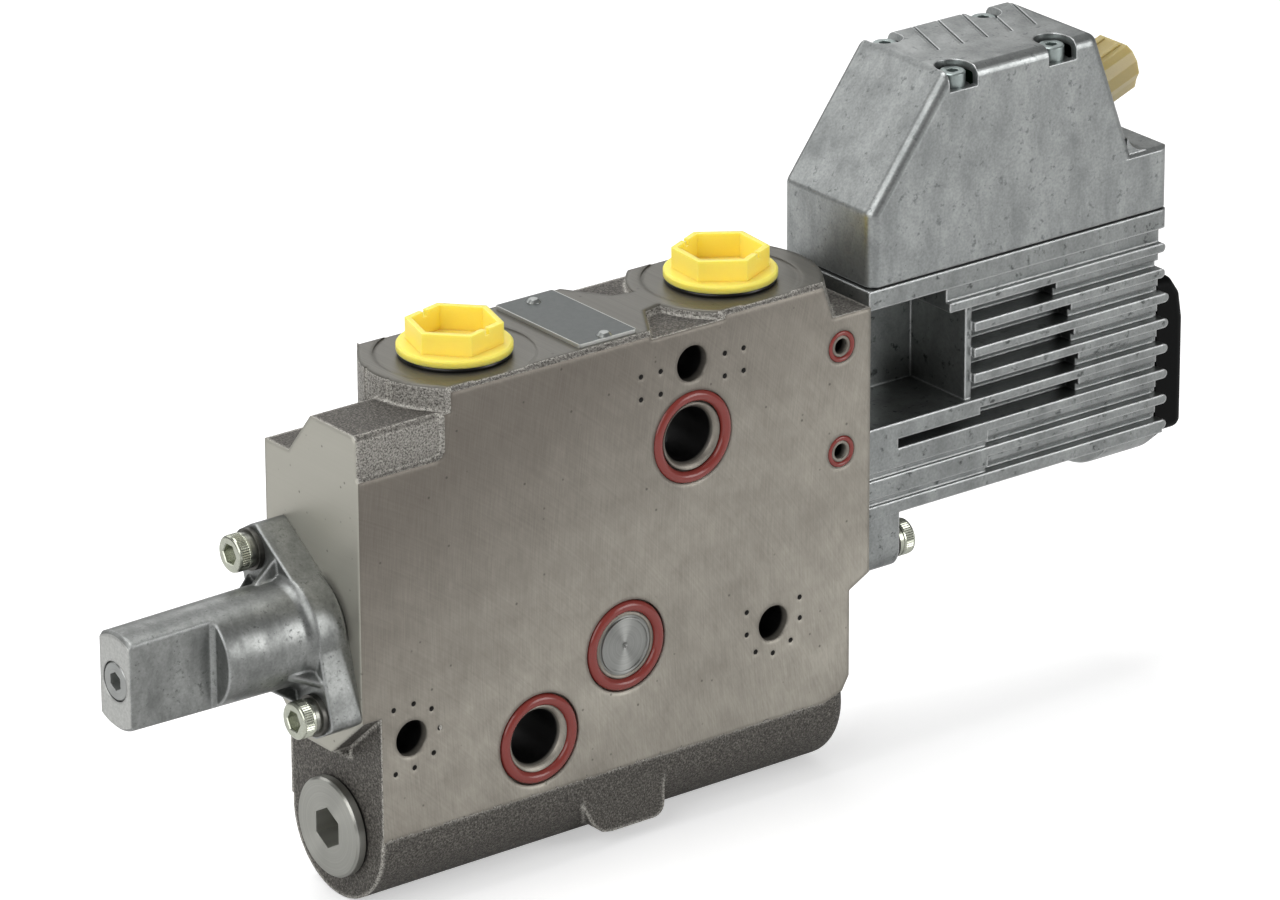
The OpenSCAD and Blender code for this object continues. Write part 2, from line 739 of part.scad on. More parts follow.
// Two-bolt flange: a round middle and two cornered ears
module cap_flange() {
    translate([cap_flange_x, cy, spool_h]) rotate([90, 0, 90]) linear_extrude(cap_flange_t) hull() {
        circle(flange_r);
        for (s = [-1, 1]) {
            translate(s * [screw_dy + 4.4, screw_dz + 1.3]) circle(flange_corner_r, $fn = hull_fn);
            translate(s * [screw_dy - 1, screw_dz + 4.6]) circle(flange_corner_r, $fn = hull_fn);
        }
    }
}

// Webs on both sides of each screw, from the barrel to the flange
module cap_webs() {
    t = 2;
    root = cap_r - 1;
    slope = (web_r - root) / web_len;
    for (turn = [0, 180], side = [-23, 23])
        translate([0, cy, spool_h]) rotate([turn + side + atan2(screw_dz, screw_dy), 0, 0])
            translate([0, 0, -t / 2]) linear_extrude(t)
                polygon([[cap_flange_x - web_len, root], [cap_flange_x + 1, web_r + slope],
                    [cap_flange_x + 1, root]]);
}

// Flats milled on both sides of the barrel
module cap_flats() {
    end = cap_tip + flat_len;
    for (s = [0, 1]) translate([0, s * 2 * cy, 0]) mirror([0, s, 0])
        translate([0, 0, spool_h - 20]) linear_extrude(40)
            polygon([[cap_tip - 1, cy - flat_w / 2], [end, cy - flat_w / 2], [end + 0.9, cy - flat_w / 2 - 1],
                [end + 0.9, cy - 20], [cap_tip - 1, cy - 20]]);
}

module end_cap() {
    tip_c = 1;
    root_r = cap_r + cap_draft;
    color([0.72, 0.72, 0.7]) difference() {
        union() {
            turned([[0, cap_tip], [cap_r - tip_c, cap_tip], [cap_r, cap_tip + tip_c], [root_r, cap_flange_x - 2.5],
                [root_r + 0.5, cap_flange_x - 1], [root_r + 1.6, cap_flange_x + 0.3], [root_r + 1.6, x_l - 1],
                [0, x_l - 1]], cy, spool_h);
            cap_flange();
            cap_webs();
        }
        cap_flats();
        bar_x(cap_bore_r, cap_seat_x, x_l + 1, cy, spool_h);
        bar_x(2, cap_tip, x_l, cy, spool_h);
        bar_x(5.4, cap_tip - 1, cap_tip + 8, cy, spool_h);
        for (p = cap_screw_at) bar_x(m6_free_r, cap_flange_x - 1, x_l + 1, p[0], p[1]);
        difference() {
            bar_x(cap_bore_r + 3, x_l - 1.5, x_l + 1, cy, spool_h);
            bar_x(cap_bore_r + 0.8, x_l - 3, x_l + 1, cy, spool_h);
        }
    }
}

module end_cap_seal() {
    color([0.1, 0.1, 0.1]) ring_x(cap_bore_r + 1.9, 0.75, x_l - 0.75, cy, spool_h);
}

module end_cap_screws() {
    color([0.7, 0.71, 0.68]) for (p = cap_screw_at)
        m6_screw(cap_flange_x - 2 * washer_t, m6_grip + cap_flange_t + 2 * washer_t, p[0], p[1]);
}

module end_cap_washers() {
    color([0.25, 0.25, 0.25]) for (p = cap_screw_at)
        tube_x(m6_head_r + 0.6, m6_r + 0.1, cap_flange_x - washer_t, cap_flange_x, p[0], p[1]);
}

module end_cap_spring_washers() {
    color([0.3, 0.3, 0.3]) for (p = cap_screw_at) split_washer(cap_flange_x - 2 * washer_t, p[0], p[1]);
}

module end_cap_bleed_screw() {
    color([0.66, 0.66, 0.64]) difference() {
        turned([[0, cap_tip + 7.5], [5.3, cap_tip + 7.5], [5.3, cap_tip + 0.6], [4.8, cap_tip + 0.1],
            [0, cap_tip + 0.1]], cy, spool_h);
        translate([cap_tip - 1, cy, spool_h]) rotate([0, 90, 0]) cylinder(r = 2.6, h = 4, $fn = 6);
    }
}

// Yellow plug: threaded stem, flange and hexagonal cup with two notches in its rim
module port_plug(x, turn) {
    under = top_h - spot_t + plug_ring_t;
    rim = under + plug_flange_t + plug_cup_h;
    translate([x, cy, 0]) difference() {
        union() {
            translate([0, 0, top_h - plug_stem]) cylinder(r = port_r - 0.1, h = under - top_h + plug_stem);
            translate([0, 0, under]) cylinder(r = plug_flange_r, h = plug_flange_t - 0.5);
            translate([0, 0, under + plug_flange_t - 0.5])
                cylinder(r1 = plug_flange_r, r2 = plug_flange_r - 0.5, h = 0.5);
            rotate([0, 0, turn]) translate([0, 0, under]) cylinder(r = plug_hex_r, h = rim - under, $fn = 6);
        }
        rotate([0, 0, turn]) translate([0, 0, under + 1])
            cylinder(r = plug_hex_r - plug_wall * 2 / sqrt(3), h = rim, $fn = 6);
        translate([0, 0, top_h - plug_stem - 1]) cylinder(r = port_r - 2, h = plug_stem + 0.5);
        for (a = [turn + 90, turn + 270]) rotate([0, 0, a]) translate([plug_hex_r * 0.7, -0.8, rim - 1.6])
            cube([plug_hex_r, 1.6, 3]);
    }
}

module port_plug_a() {
    color([0.96, 0.83, 0.2]) port_plug(port_a_x, plug_turn_a);
}

module port_plug_b() {
    color([0.96, 0.83, 0.2]) port_plug(port_b_x, plug_turn_b);
}

// Black ring between the plug's flange and the spot face
module port_ring(x) {
    color([0.06, 0.06, 0.06]) translate([x, cy, top_h - spot_t]) rotate_extrude()
        translate([port_r + 1.75, plug_ring_t / 2]) circle(plug_ring_t / 2, $fn = 32);
}

module port_plug_ring_a() {
    port_ring(port_a_x);
}

module port_plug_ring_b() {
    port_ring(port_b_x);
}

// Seal ring that lies on the floor of its groove and stands out of the face
module face_ring(x, z, shift) {
    color([0.65, 0.25, 0.22]) ring_y(groove_in_r + seal_r + 0.25 + shift, seal_r, groove_t - seal_r, x, z);
}

module pump_port_seal() {
    face_ring(pump_x, pump_z, 0.25);
}

module tank_port_seal() {
    face_ring(tank_x, tank_z, -0.2);
}

module neutral_port_seal() {
    face_ring(neutral_x, neutral_z, -0.1);
}

module pilot_port_seals() {
    color([0.65, 0.25, 0.22]) for (z = [small_hi, small_lo])
        ring_y(small_groove_r - small_seal_r - 0.05, small_seal_r, 1.3 - small_seal_r, small_x, z);
}

module neutral_port_disc() {
    color([0.75, 0.76, 0.76]) translate([neutral_x, disc_t + 0.2, neutral_z]) rotate([90, 0, 0]) difference() {
        union() {
            cylinder(r = disc_r, h = disc_t - 0.6);
            cylinder(r1 = disc_r, r2 = disc_r - 0.6, h = disc_t);
        }
        translate([0, 0, disc_t - 0.4]) cylinder(r = disc_r - 1.2, h = 1);
        translate([0, 0, disc_t - 1.4]) cylinder(r1 = 0.1, r2 = 0.9, h = 1.01, $fn = 24);
    }
}

module compensator_lock_plug() {
    head = lock_seat - lock_head_h;
    color([0.5, 0.5, 0.48]) difference() {
        turned([[0, lock_seat + lock_t], [lock_r - 1, lock_seat + lock_t], [lock_r, lock_seat + lock_t - 1],
            [lock_r, lock_seat + 1], [lock_r - 0.8, lock_seat + 0.6], [lock_r - 0.8, lock_seat - 0.8],
            [lock_head_r, lock_seat - 0.8], [lock_head_r, head + 0.6], [lock_head_r - 0.6, head],
            [0, head]], cy, -comp_drop);
        translate([head - 1, cy, -comp_drop]) rotate([0, 90, 0])
            cylinder(r = lock_socket / sqrt(3), h = 8, $fn = 6);
        bar_x(4, lock_seat + 6, lock_seat + lock_t + 1, cy, -comp_drop);
    }
}

module compensator_plug_seal() {
    color([0.12, 0.12, 0.12]) tube_x(lock_head_r - 0.4, lock_r - 0.7, lock_seat - 0.8, lock_seat,
        cy, -comp_drop);
}

module compensator_spool() {
    x0 = comp_spool_x;
    x1 = comp_end - 0.1;
    color([0.74, 0.75, 0.76]) difference() {
        turned([[0, x0], [comp_spool_r - 0.6, x0], [comp_spool_r, x0 + 0.6], [comp_spool_r, neutral_x - 12],
            [5, neutral_x - 11], [5, neutral_x - 4], [comp_spool_r, neutral_x - 3], [comp_spool_r, x1 - 0.6],
            [comp_spool_r - 0.6, x1], [0, x1]], cy, -comp_drop);
        bar_x(3, x0 - 1, x0 + 14, cy, -comp_drop);
    }
}

module compensator_spring() {
    color([0.35, 0.36, 0.38]) spring(lock_seat + lock_t, comp_spool_x, 5.8, 0.9, 5, cy, -comp_drop);
}

// Plain plate with square-cut edges, held by two rivets
module type_plate() {
    color([0.35, 0.36, 0.36]) difference() {
        round_box([plate_x, 2.2, top_h], [plate_x + plate_w, 2.2 + plate_d, top_h + plate_t], 0.8);
        for (y = [4, plate_d - 2]) translate([plate_x + plate_w / 2, y, top_h - 1]) cylinder(r = 1.3, h = 4);
    }
}

module plate_rivets() {
    color([0.75, 0.76, 0.76]) for (y = [4, plate_d - 2]) translate([plate_x + plate_w / 2, y, 0]) {
        translate([0, 0, top_h - 3.8]) cylinder(r = 1.15, h = plate_t + 3.9);
        translate([0, 0, top_h + plate_t]) cylinder(r1 = 2, r2 = 1.2, h = 0.9);
    }
}

// Screw lug under the face towards the valve section
module pilot_lug() {
    y = pilot_screw_at[0][0];
    z = pilot_screw_at[0][1];
    bar_x(lug_r, x_r, x_r + lug_len, y, z);
    box([x_r, y - lug_r, z], [x_r + lug_len, y + lug_r, pilot_bottom + 1]);
}

// Cast bulge under the far end, rounded off below the rear cap
module bulge() {
    end = pilot_end + rear_len - 2.5;
    intersection() {
        turned([[0, bulge_x], [bulge_r, bulge_x], [bulge_r, pilot_end], [bulge_r - 1.5, end - 3.5],
            [bulge_r - 4.5, end], [0, end]], cy, bulge_z + bulge_r);
        union() {
            box([bulge_x - 1, pf, bulge_z - 1], [pilot_end, pb, fin_z(0)]);
            box([pilot_end - 1, pf, bulge_z - 1], [end + 1, pb, rear_bottom - face_gap]);
        }
    }
}

// One cooling fin with its rounded end
module fin(k, x0, t) {
    top = fin_z(k);
    end = (k < 6 ? fin_end : pilot_end) - fin_t / 2;
    box([x0, pf, top - t], [end, pb, top]);
    bar_y(fin_t / 2, pf, pb, end, top - fin_t / 2);
}

// Start of each fin on the front, from the bottom fin up
function fin_start(k) = k < 4 ? x_r : k < 7 ? slot_x : x_r + window_len - window_step;

// Right end of the through slot above each fin
function slot_end(k) = slot_x + [0, 0, 38, 37.8, 36.1, 34.9, 29.5, 0][k];

// Solid forms of the pilot housing before its slots and bores
module pilot_blank() {
    box([x_r, pf + fin_floor, pilot_bottom], [pilot_end - 1.2, pb - fin_floor, rim_z + 1]);
    box([x_r, pf, pilot_bottom], [x_r + 41.3, pb, fin_z(2)]);
    box([x_r, pf, fin_z(2) - 1], [x_r + 10.1, pb, fin_z(3)]);
    box([x_r, pf, fin_z(2) + groove_h + 0.7], [x_r + 38.4, pb, fin_z(3)]);
    box([x_r, cy + 3, pilot_bottom], [x_r + window_len + web_t, pb, rim_z + 1]);
    fin(0, x_r, fin_z(0) - pilot_bottom);
    for (k = [1:fin_count - 1]) fin(k, fin_start(k), fin_t);
    round_box([x_r, pf, rim_z], [rim_end, pb, deck_z], 2);
    box([x_r, pf, rim_z], [x_r + 5, pb, deck_z]);
    pilot_lug();
    bar_x(boss_r, x_r, x_r + lug_len, cy, spool_h);
    turned([[0, sensor_x - 5], [boss_r - 4, sensor_x - 5], [boss_r, sensor_x + 3], [boss_r, pilot_end],
        [0, pilot_end]], cy, spool_h);
    bulge();
    box([pilot_end - 10, cy - rear_d / 2, pilot_bottom], [pilot_end, cy + rear_d / 2, rear_top]);
}

// Slots and grooves between the fins of one side
module fin_cuts() {
    for (k = [2:6]) {
        x0 = k == 2 ? x_r + 10.1 : slot_x;
        top = k == 2 ? fin_z(2) + groove_h + 0.7 : fin_z(k + 1) - fin_t;
        box([x0, -1, fin_z(k)], [slot_end(k), pf + slot_t, top]);
        box([slot_end(k) - 1, -1, fin_z(k)], [fin_end + 1, pf + fin_groove, fin_z(k) + groove_h]);
    }
    box([x_r + 38.4, -1, fin_z(2) + groove_h], [slot_end(2), pf + slot_t, fin_z(3) - fin_t]);
    for (k = [0, 1]) {
        box([x_r - 1, -1, fin_z(k)], [x_r + 42, pf + 1, fin_z(k) + groove_h]);
        box([x_r + 41.3, -1, fin_z(k)], [fin_end + 1, pf + fin_groove, fin_z(k) + groove_h]);
    }
}

// Window beside the valve section, open to the front
module window() {
    post = 9;
    difference() {
        box([x_r - 1, -1, window_z], [x_r + window_len, pf + window_d, rim_z]);
        box([x_r - 2, pf + window_d - 9, window_z + 5], [x_r + post, pf + window_d + 1, rim_z + 1]);
        translate([x_r + post, pf + window_d - 5, window_z + 5]) cylinder(r = 4, h = rim_z - window_z);
        box([x_r + window_len - window_step, -2, fin_z(7) - fin_t], [x_r + window_len + 1, pb, rim_z + 1]);
    }
}

module pilot_housing() {
    upper = pilot_screw_at[1];
    color([0.62, 0.64, 0.64]) difference() {
        pilot_blank();
        fin_cuts();
        translate([0, pf + pb, 0]) mirror([0, 1, 0]) fin_cuts();
        window();
        box([pilot_end, cy - rear_d / 2 - rear_gap, rear_bottom - face_gap],
            [fin_end + 1, cy + rear_d / 2 + rear_gap, rear_top + 1]);
        box([x_r + lug_len, upper[0] - 6, upper[1] - 7], [slot_x + 1, pb + 1, upper[1] + 7]);
        for (p = pilot_screw_at) bar_x(m6_free_r, x_r - 1, x_r + lug_len + 1, p[0], p[1]);
        bar_x(coil_bore_r, coil_x, pilot_end + 1, cy, coil_z);
        bar_x(pilot_r + slide_gap, pilot_x, coil_x + 1, cy, coil_z);
        bar_x(tube_r + 0.05, x_r - 1, pilot_end - 2, cy, spool_h);
        bar_x(sensor_bore_r, sensor_x, pilot_end + 1, cy, spool_h);
        difference() {
            bar_x(spool_bore_r + 3.2, x_r - 1, x_r + 1.5, cy, spool_h);
            bar_x(spool_bore_r + 0.6, x_r - 2, x_r + 2, cy, spool_h);
        }
        for (x = screw_x, y = [cf + screw_in, cb - screw_in])
            translate([x, y, deck_z - rim_t + 0.6]) cylinder(r = m4_r + 0.03, h = rim_t);
    }
}

module pilot_face_seal() {
    color([0.1, 0.1, 0.1]) ring_x(spool_bore_r + 1.9, 0.75, x_r + 0.75, cy, spool_h);
}

module pilot_screws() {
    color([0.7, 0.71, 0.68]) for (p = pilot_screw_at)
        translate([2 * head_x, 0, 0]) mirror([1, 0, 0])
            m6_screw(head_x, m6_grip + lug_len + 2 * washer_t, p[0], p[1]);
}

module pilot_washers() {
    color([0.1, 0.1, 0.1]) for (p = pilot_screw_at)
        tube_x(m6_head_r + 0.3, m6_r + 0.1, x_r + lug_len, x_r + lug_len + washer_t, p[0], p[1]);
}

module pilot_spring_washers() {
    color([0.75, 0.75, 0.73]) for (p = pilot_screw_at)
        split_washer(x_r + lug_len + washer_t, p[0], p[1]);
}

module pilot_spool() {
    x0 = pilot_spool_x;
    x1 = coil_x - 1;
    color([0.78, 0.79, 0.8]) turned([[0, x0], [pilot_r - 0.3, x0], [pilot_r, x0 + 0.3], [pilot_r, x0 + 8],
        [2, x0 + 8.6], [2, x0 + 13], [pilot_r, x0 + 13.6], [pilot_r, x1 - 0.3], [pilot_r - 0.3, x1],
        [0, x1]], cy, coil_z);
}

module pilot_spring() {
    color([0.35, 0.36, 0.38]) spring(pilot_x, pilot_spool_x, 2.6, 0.4, 4, cy, coil_z);
}

// Winding on its bobbin
module solenoid_coil() {
    r = coil_bore_r - solenoid_fit;
    r_in = pole_r + 0.05;
    x0 = coil_x + 1;
    x1 = pilot_end - 1.5;
    color([0.55, 0.3, 0.15]) turned([[r_in, x0], [r, x0], [r, x0 + 1.5], [r - 1, x0 + 1.5], [r - 1, x1 - 1.5],
        [r, x1 - 1.5], [r, x1], [r_in, x1]], cy, coil_z);
}

module solenoid_pole_tube() {
    color([0.6, 0.61, 0.62]) difference() {
        bar_x(pole_r, pole_x, pole_x + pole_len, cy, coil_z);
        bar_x(arm_r + slide_gap, pole_x + arm_room, pole_x + pole_len - 1.5, cy, coil_z);
        bar_x(1.6, pole_x - 1, pole_x + arm_room + 1, cy, coil_z);
    }
}

module solenoid_armature() {
    x0 = pole_x + arm_room + pilot_travel + 0.3;
    x1 = pole_x + pole_len - 1.8;
    color([0.5, 0.5, 0.52]) {
        bar_x(arm_r, x0, x1, cy, coil_z);
        bar_x(1.5, coil_x - 1, x0 + 1, cy, coil_z);
    }
}

module sensor_coil() {
    r = sensor_bore_r - solenoid_fit;
    x0 = sensor_x + 1;
    x1 = pilot_end - 2;
    color([0.55, 0.3, 0.15]) turned([[tube_r + 0.1, x0], [r, x0], [r, x0 + 1.5], [r - 1, x0 + 1.5],
        [r - 1, x1 - 1.5], [r, x1 - 1.5], [r, x1], [tube_r + 0.1, x1]], cy, spool_h);
}

module sensor_tube() {
    color([0.66, 0.67, 0.68]) difference() {
        bar_x(tube_r, x_r + 0.1, pilot_end - 2, cy, spool_h);
        bar_x(tube_in_r, x_r - 1, pilot_end - 2 - tube_wall, cy, spool_h);
    }
}

// Rod screwed into the spool with the sensor's core at its far end
module sensor_core_rod() {
    far = pilot_end - 2 - tube_wall - spool_travel - 1;
    color([0.72, 0.73, 0.74]) {
        bar_x(rod_r - 0.02, spool_r0 - rod_grip + 0.2, far - 1, cy, spool_h);
        bar_x(core_r, far - core_len, far, cy, spool_h);
    }
}

// Rounded form of the rear cap, drawn inwards by a distance for its hollow and open towards the housing
module cap_shape(t, back) {
    r = 3;
    reach = pilot_end + rear_len - rear_x;
    hull() for (y = [cy - rear_d / 2 + r, cy + rear_d / 2 - r]) {
        for (z = [rear_bottom + r, rear_top - r])
            translate([rear_x - back, y, z]) rotate([0, 90, 0]) cylinder(r = r - t, h = 1, $fn = hull_fn);
        translate([rear_x + reach - r, y, rear_bottom + r]) sphere(r - t, $fn = hull_fn);
        for (a = [0, 40, 75])
            translate([rear_x + r + (reach - 2 * r) * cos(a), y, rear_top - 13.5 + (13.5 - r) * sin(a)])
                sphere(r - t, $fn = hull_fn);
    }
}

module rear_cap() {
    color([0.09, 0.09, 0.1]) difference() {
        cap_shape(0, 0);
        cap_shape(rear_wall, 1.5);
    }
}

module rear_cap_gasket() {
    x0 = pilot_end;
    low = rear_bottom + 6;
    high = rear_top - 4;
    color([0.12, 0.12, 0.12]) difference() {
        box([x0, cy - rear_d / 2 + 1, low], [rear_x, cy + rear_d / 2 - 1, high]);
        box([x0 - 1, cy - rear_d / 2 + 2.6, low + 1.6], [x0 + 1, cy + rear_d / 2 - 2.6, high - 1.6]);
    }
}

// Side outline of the cover's tower, clockwise from the lower left
tower = [[cover_l, cover_z], [cover_l, crease_z], [top_l, cover_top], [top_r, cover_top],
    [top_r + lean_x, cover_z]];

// Tower of the cover with rounded edges, grown or shrunk from its outer face
module tower_shape(t) {
    r = cover_r - t;
    centres = inset(tower, cover_r);
    hull() for (y = [cf + cover_r, cb - cover_r]) {
        for (i = [1:3]) translate([centres[i][0], y, centres[i][1]]) sphere(r, $fn = hull_fn);
        for (i = [0, 4]) translate([centres[i][0], y, cover_z - t]) cylinder(r = r, h = cover_r, $fn = hull_fn);
    }
}

// Low block behind the tower, with chamfered top edges
module block_shape(t) {
    c = 1.2;
    x = cover_r0 - t;
    y0 = cf + t;
    y1 = cb - t;
    top = block_z - t;
    difference() {
        round_box([top_r - 10, y0, cover_z - t], [x, y1, top], cover_r - t);
        for (y = [y0, y1]) chamfer_x(top_r - 11, x + 1, y, top, c);
        translate([x, cy, top]) rotate([0, 45, 0]) cube([c * sqrt(2), 2 * cover_d, c * sqrt(2)], center = true);
    }
}

// Hollow curve between the rear wall and the low block
module rear_fillet() {
    r = 7;
    foot = [top_r + (cover_top - block_z) * tan(rear_lean), block_z];
    leg = r / tan((90 + rear_lean) / 2);
    centre = foot + [leg, r];
    slab_y(concat([foot + [-2, -2], foot + [leg, -2]],
        [for (a = [0:5]) centre + r * [sin(180 + (90 - rear_lean) * a / 5), cos(180 + (90 - rear_lean) * a / 5)]]),
        cf + 1, cb - 1);
}

// Posts that carry the screws inside the cover
module cover_posts() {
    for (x = screw_x, y = [cf + screw_in, cb - screw_in])
        translate([x, y, cover_z]) cylinder(r = notch_r, h = cover_top - notch_t - cover_z - 0.2);
}

// U-shaped notches that let the screw heads in
module cover_notches() {
    for (x = screw_x, s = [0, 1]) translate([0, s * (cf + cb), 0]) mirror([0, s, 0]) {
        translate([x, cf + screw_in, cover_top - notch_t]) cylinder(r = notch_r, h = notch_t + 1);
        box([x - notch_r, cf - 1, cover_top - notch_t], [x + notch_r, cf + screw_in, cover_top + 1]);
    }
}

// Places a child drawn along Z on the rear wall, pointing outwards
module on_rear_wall() {
    translate(plug_at) rotate([0, 90 - rear_lean, 0]) children();
}

module electronics_cover() {
    color([0.55, 0.57, 0.58]) difference() {
        union() {
            tower_shape(0);
            block_shape(0);
            rear_fillet();
        }
        difference() {
            union() {
                tower_shape(cover_wall);
                block_shape(cover_wall);
            }
            cover_posts();
        }
        cover_notches();
        for (x = screw_x, y = [cf + screw_in, cb - screw_in])
            translate([x, y, cover_z - 1]) cylinder(r = m4_free_r, h = cover_top - cover_z);
        on_rear_wall() translate([0, 0, -16]) linear_extrude(20) mouth(0.95);
        for (i = [0:4]) translate([top_l + 17.5 + 8.4 * i, cb + 0.5, cover_top - 0.7])
            rotate([0, 0, 180 + 70]) cube([23, 1, 2]);
    }
}

module cover_gasket() {
    color([0.08, 0.08, 0.08]) difference() {
        round_box([cover_l + 0.4, cf + 0.5, deck_z], [rim_end - 0.3, cb - 0.5, cover_z], 2.4);
        round_box([cover_l + 3, cf + 2.6, deck_z - 1], [cover_r0 - 3, cb - 2.6, cover_z + 1], 2);
        for (x = screw_x, y = [cf + screw_in, cb - screw_in])
            translate([x, y, deck_z - 1]) cylinder(r = m4_free_r, h = 3);
    }
}

module cover_screws() {
    color([0.72, 0.74, 0.74]) for (x = screw_x, y = [cf + screw_in, cb - screw_in])
        translate([x, y, 0]) difference() {
            union() {
                translate([0, 0, deck_z - rim_t + 0.9])
                    cylinder(r = m4_r, h = cover_top - notch_t - deck_z + rim_t - 0.8);
                translate([0, 0, cover_top - notch_t]) cylinder(r = m4_head_r, h = m4_head_h - 0.3);
                translate([0, 0, cover_top - notch_t + m4_head_h - 0.3])
                    cylinder(r1 = m4_head_r, r2 = m4_head_r - 0.3, h = 0.3);
            }
            translate([0, 0, cover_top - notch_t + m4_head_h - 2.2]) cylinder(r = sqrt(3), h = 3, $fn = 6);
        }
}

// Mouth outline of the connector, widest above its middle and narrow at the bottom
module mouth(t) {
    w = plug_w / 2 - t;
    h = plug_h / 2 - t;
    half = [[-h, w - 2.6], [-h + 1.4, w - 0.9], [-0.4 * h, w], [0.17 * h, w - 0.7], [0.55 * h, w - 2.8],
        [h, w - 4.7]];
    polygon(concat(half, [for (i = [5:-1:0]) [half[i][0], -half[i][1]]]));
}

module connector_shell() {
    color([0.72, 0.62, 0.32]) on_rear_wall() difference() {
        union() {
            translate([0, 0, 0.1]) linear_extrude(plug_out - 0.1) mouth(0);
            translate([0, 0, -4.2]) linear_extrude(4.4) mouth(1);
            for (v = [-3.2, 3.2]) translate([-plug_h / 2 - 0.6, v - 0.6, 0.8]) cube([2, 1.2, plug_out - 1.6]);
        }
        translate([0, 0, 3]) linear_extrude(plug_out) mouth(shell_t);
        for (u = [-2.6, 2.6], v = [-2.8, 2.8]) translate([u, v, -5]) cylinder(r = 0.8, h = 10);
    }
}

module connector_pins() {
    color([0.8, 0.7, 0.4]) on_rear_wall()
        for (u = [-2.6, 2.6], v = [-2.8, 2.8]) translate([u, v, -8]) cylinder(r = 0.75, h = 17);
}

// Printed circuit board that stands along the middle of the cover
module circuit_board() {
    edge = inset(tower, cover_wall + 3.4);
    y = (cf + cb) / 2;
    color([0.1, 0.35, 0.18]) slab_y([[edge[0][0], cover_z - 0.3], edge[1], edge[2], edge[3] - [5, 0],
        edge[3] + [-2, -12], [edge[3][0] - 6, plug_at[2] - 12], [edge[4][0] - 3, plug_at[2] - 14],
        [edge[4][0] - 3, cover_z - 0.3]], y - board_t / 2, y + board_t / 2);
}

module board_components() {
    y = (cf + cb) / 2 + board_t / 2;
    chip = 12;
    chip_t = 2;
    part_w = 8;
    part_h = 5;
    can_r = 4;
    can_h = 7;
    color([0.15, 0.15, 0.17]) {
        translate([top_l + 6, y, cover_top - 26]) cube([chip, chip_t, chip]);
        translate([top_l + 8, y, cover_z + 12]) cube([part_w, chip_t, part_h]);
        translate([top_l + 26, y, cover_top - 24]) cube([part_w, chip_t, part_h]);
        for (x = [top_l + 28, top_l + 38]) bar_y(can_r, y, y + can_h, x, cover_z + 14);
    }
}

valve_body();
main_spool();
spool_spring_cap_side();
spool_spring_pilot_side();
end_cap();
end_cap_seal();
end_cap_screws();
end_cap_washers();
end_cap_spring_washers();
end_cap_bleed_screw();
port_plug_a();
port_plug_b();
port_plug_ring_a();
port_plug_ring_b();
pump_port_seal();
tank_port_seal();
neutral_port_seal();
pilot_port_seals();
neutral_port_disc();
compensator_lock_plug();
compensator_plug_seal();
compensator_spool();
compensator_spring();
type_plate();
plate_rivets();
pilot_housing();
pilot_face_seal();
pilot_screws();
pilot_washers();
pilot_spring_washers();
pilot_spool();
pilot_spring();
solenoid_coil();
solenoid_pole_tube();
solenoid_armature();
sensor_coil();
sensor_tube();
sensor_core_rod();
rear_cap();
rear_cap_gasket();
electronics_cover();
cover_gasket();
cover_screws();
connector_shell();
connector_pins();
circuit_board();
board_components();
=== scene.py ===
# The looks of a stacked hydraulic valve section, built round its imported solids.
import bpy
import bmesh
import math
from mathutils import Matrix, Vector


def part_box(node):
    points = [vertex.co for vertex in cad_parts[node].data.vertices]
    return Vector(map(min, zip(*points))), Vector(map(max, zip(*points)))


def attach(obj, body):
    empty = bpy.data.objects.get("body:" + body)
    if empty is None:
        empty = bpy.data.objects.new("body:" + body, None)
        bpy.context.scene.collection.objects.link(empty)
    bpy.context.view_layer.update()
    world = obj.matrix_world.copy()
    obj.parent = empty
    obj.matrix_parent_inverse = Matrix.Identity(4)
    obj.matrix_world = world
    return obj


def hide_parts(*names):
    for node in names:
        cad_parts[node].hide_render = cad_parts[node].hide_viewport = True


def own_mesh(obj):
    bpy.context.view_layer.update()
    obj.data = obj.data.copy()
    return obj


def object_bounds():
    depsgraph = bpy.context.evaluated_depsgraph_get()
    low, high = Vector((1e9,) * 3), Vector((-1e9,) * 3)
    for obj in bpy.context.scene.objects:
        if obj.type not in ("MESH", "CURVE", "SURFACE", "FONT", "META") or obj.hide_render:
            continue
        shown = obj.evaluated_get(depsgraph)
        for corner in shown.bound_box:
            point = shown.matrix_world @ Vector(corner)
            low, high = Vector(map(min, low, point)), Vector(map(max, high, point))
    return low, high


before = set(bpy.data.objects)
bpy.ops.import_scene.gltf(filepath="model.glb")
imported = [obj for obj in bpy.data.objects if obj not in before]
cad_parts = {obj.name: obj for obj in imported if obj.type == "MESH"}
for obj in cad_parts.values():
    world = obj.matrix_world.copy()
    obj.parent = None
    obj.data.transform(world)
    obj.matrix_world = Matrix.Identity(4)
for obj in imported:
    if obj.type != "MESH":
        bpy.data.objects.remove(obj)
cad_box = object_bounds()
scene = bpy.context.scene
scene.view_settings.view_transform = "Standard"

# Camera: a long lens from the front left and above, as a catalogue picture has it.
# Its place and turn come from the rings, holes and edges of the sandwich face.
azimuth = math.radians(-37.3946)
elevation = math.radians(22.0113)
roll = math.radians(-0.2708)
lens = bpy.data.cameras.new("catalogue camera")
lens.sensor_width = 36
lens.lens = 220.886
lens.clip_end = 20
camera = bpy.data.objects.new("catalogue camera", lens)
scene.collection.objects.link(camera)
aimed = Matrix.Rotation(azimuth, 4, "Z") @ Matrix.Rotation(math.pi / 2 - elevation, 4, "X")
aimed = aimed @ Matrix.Rotation(roll, 4, "Z")
camera.matrix_world = Matrix.Translation((-1.06808, -1.49389, 0.82130)) @ aimed
scene.camera = camera


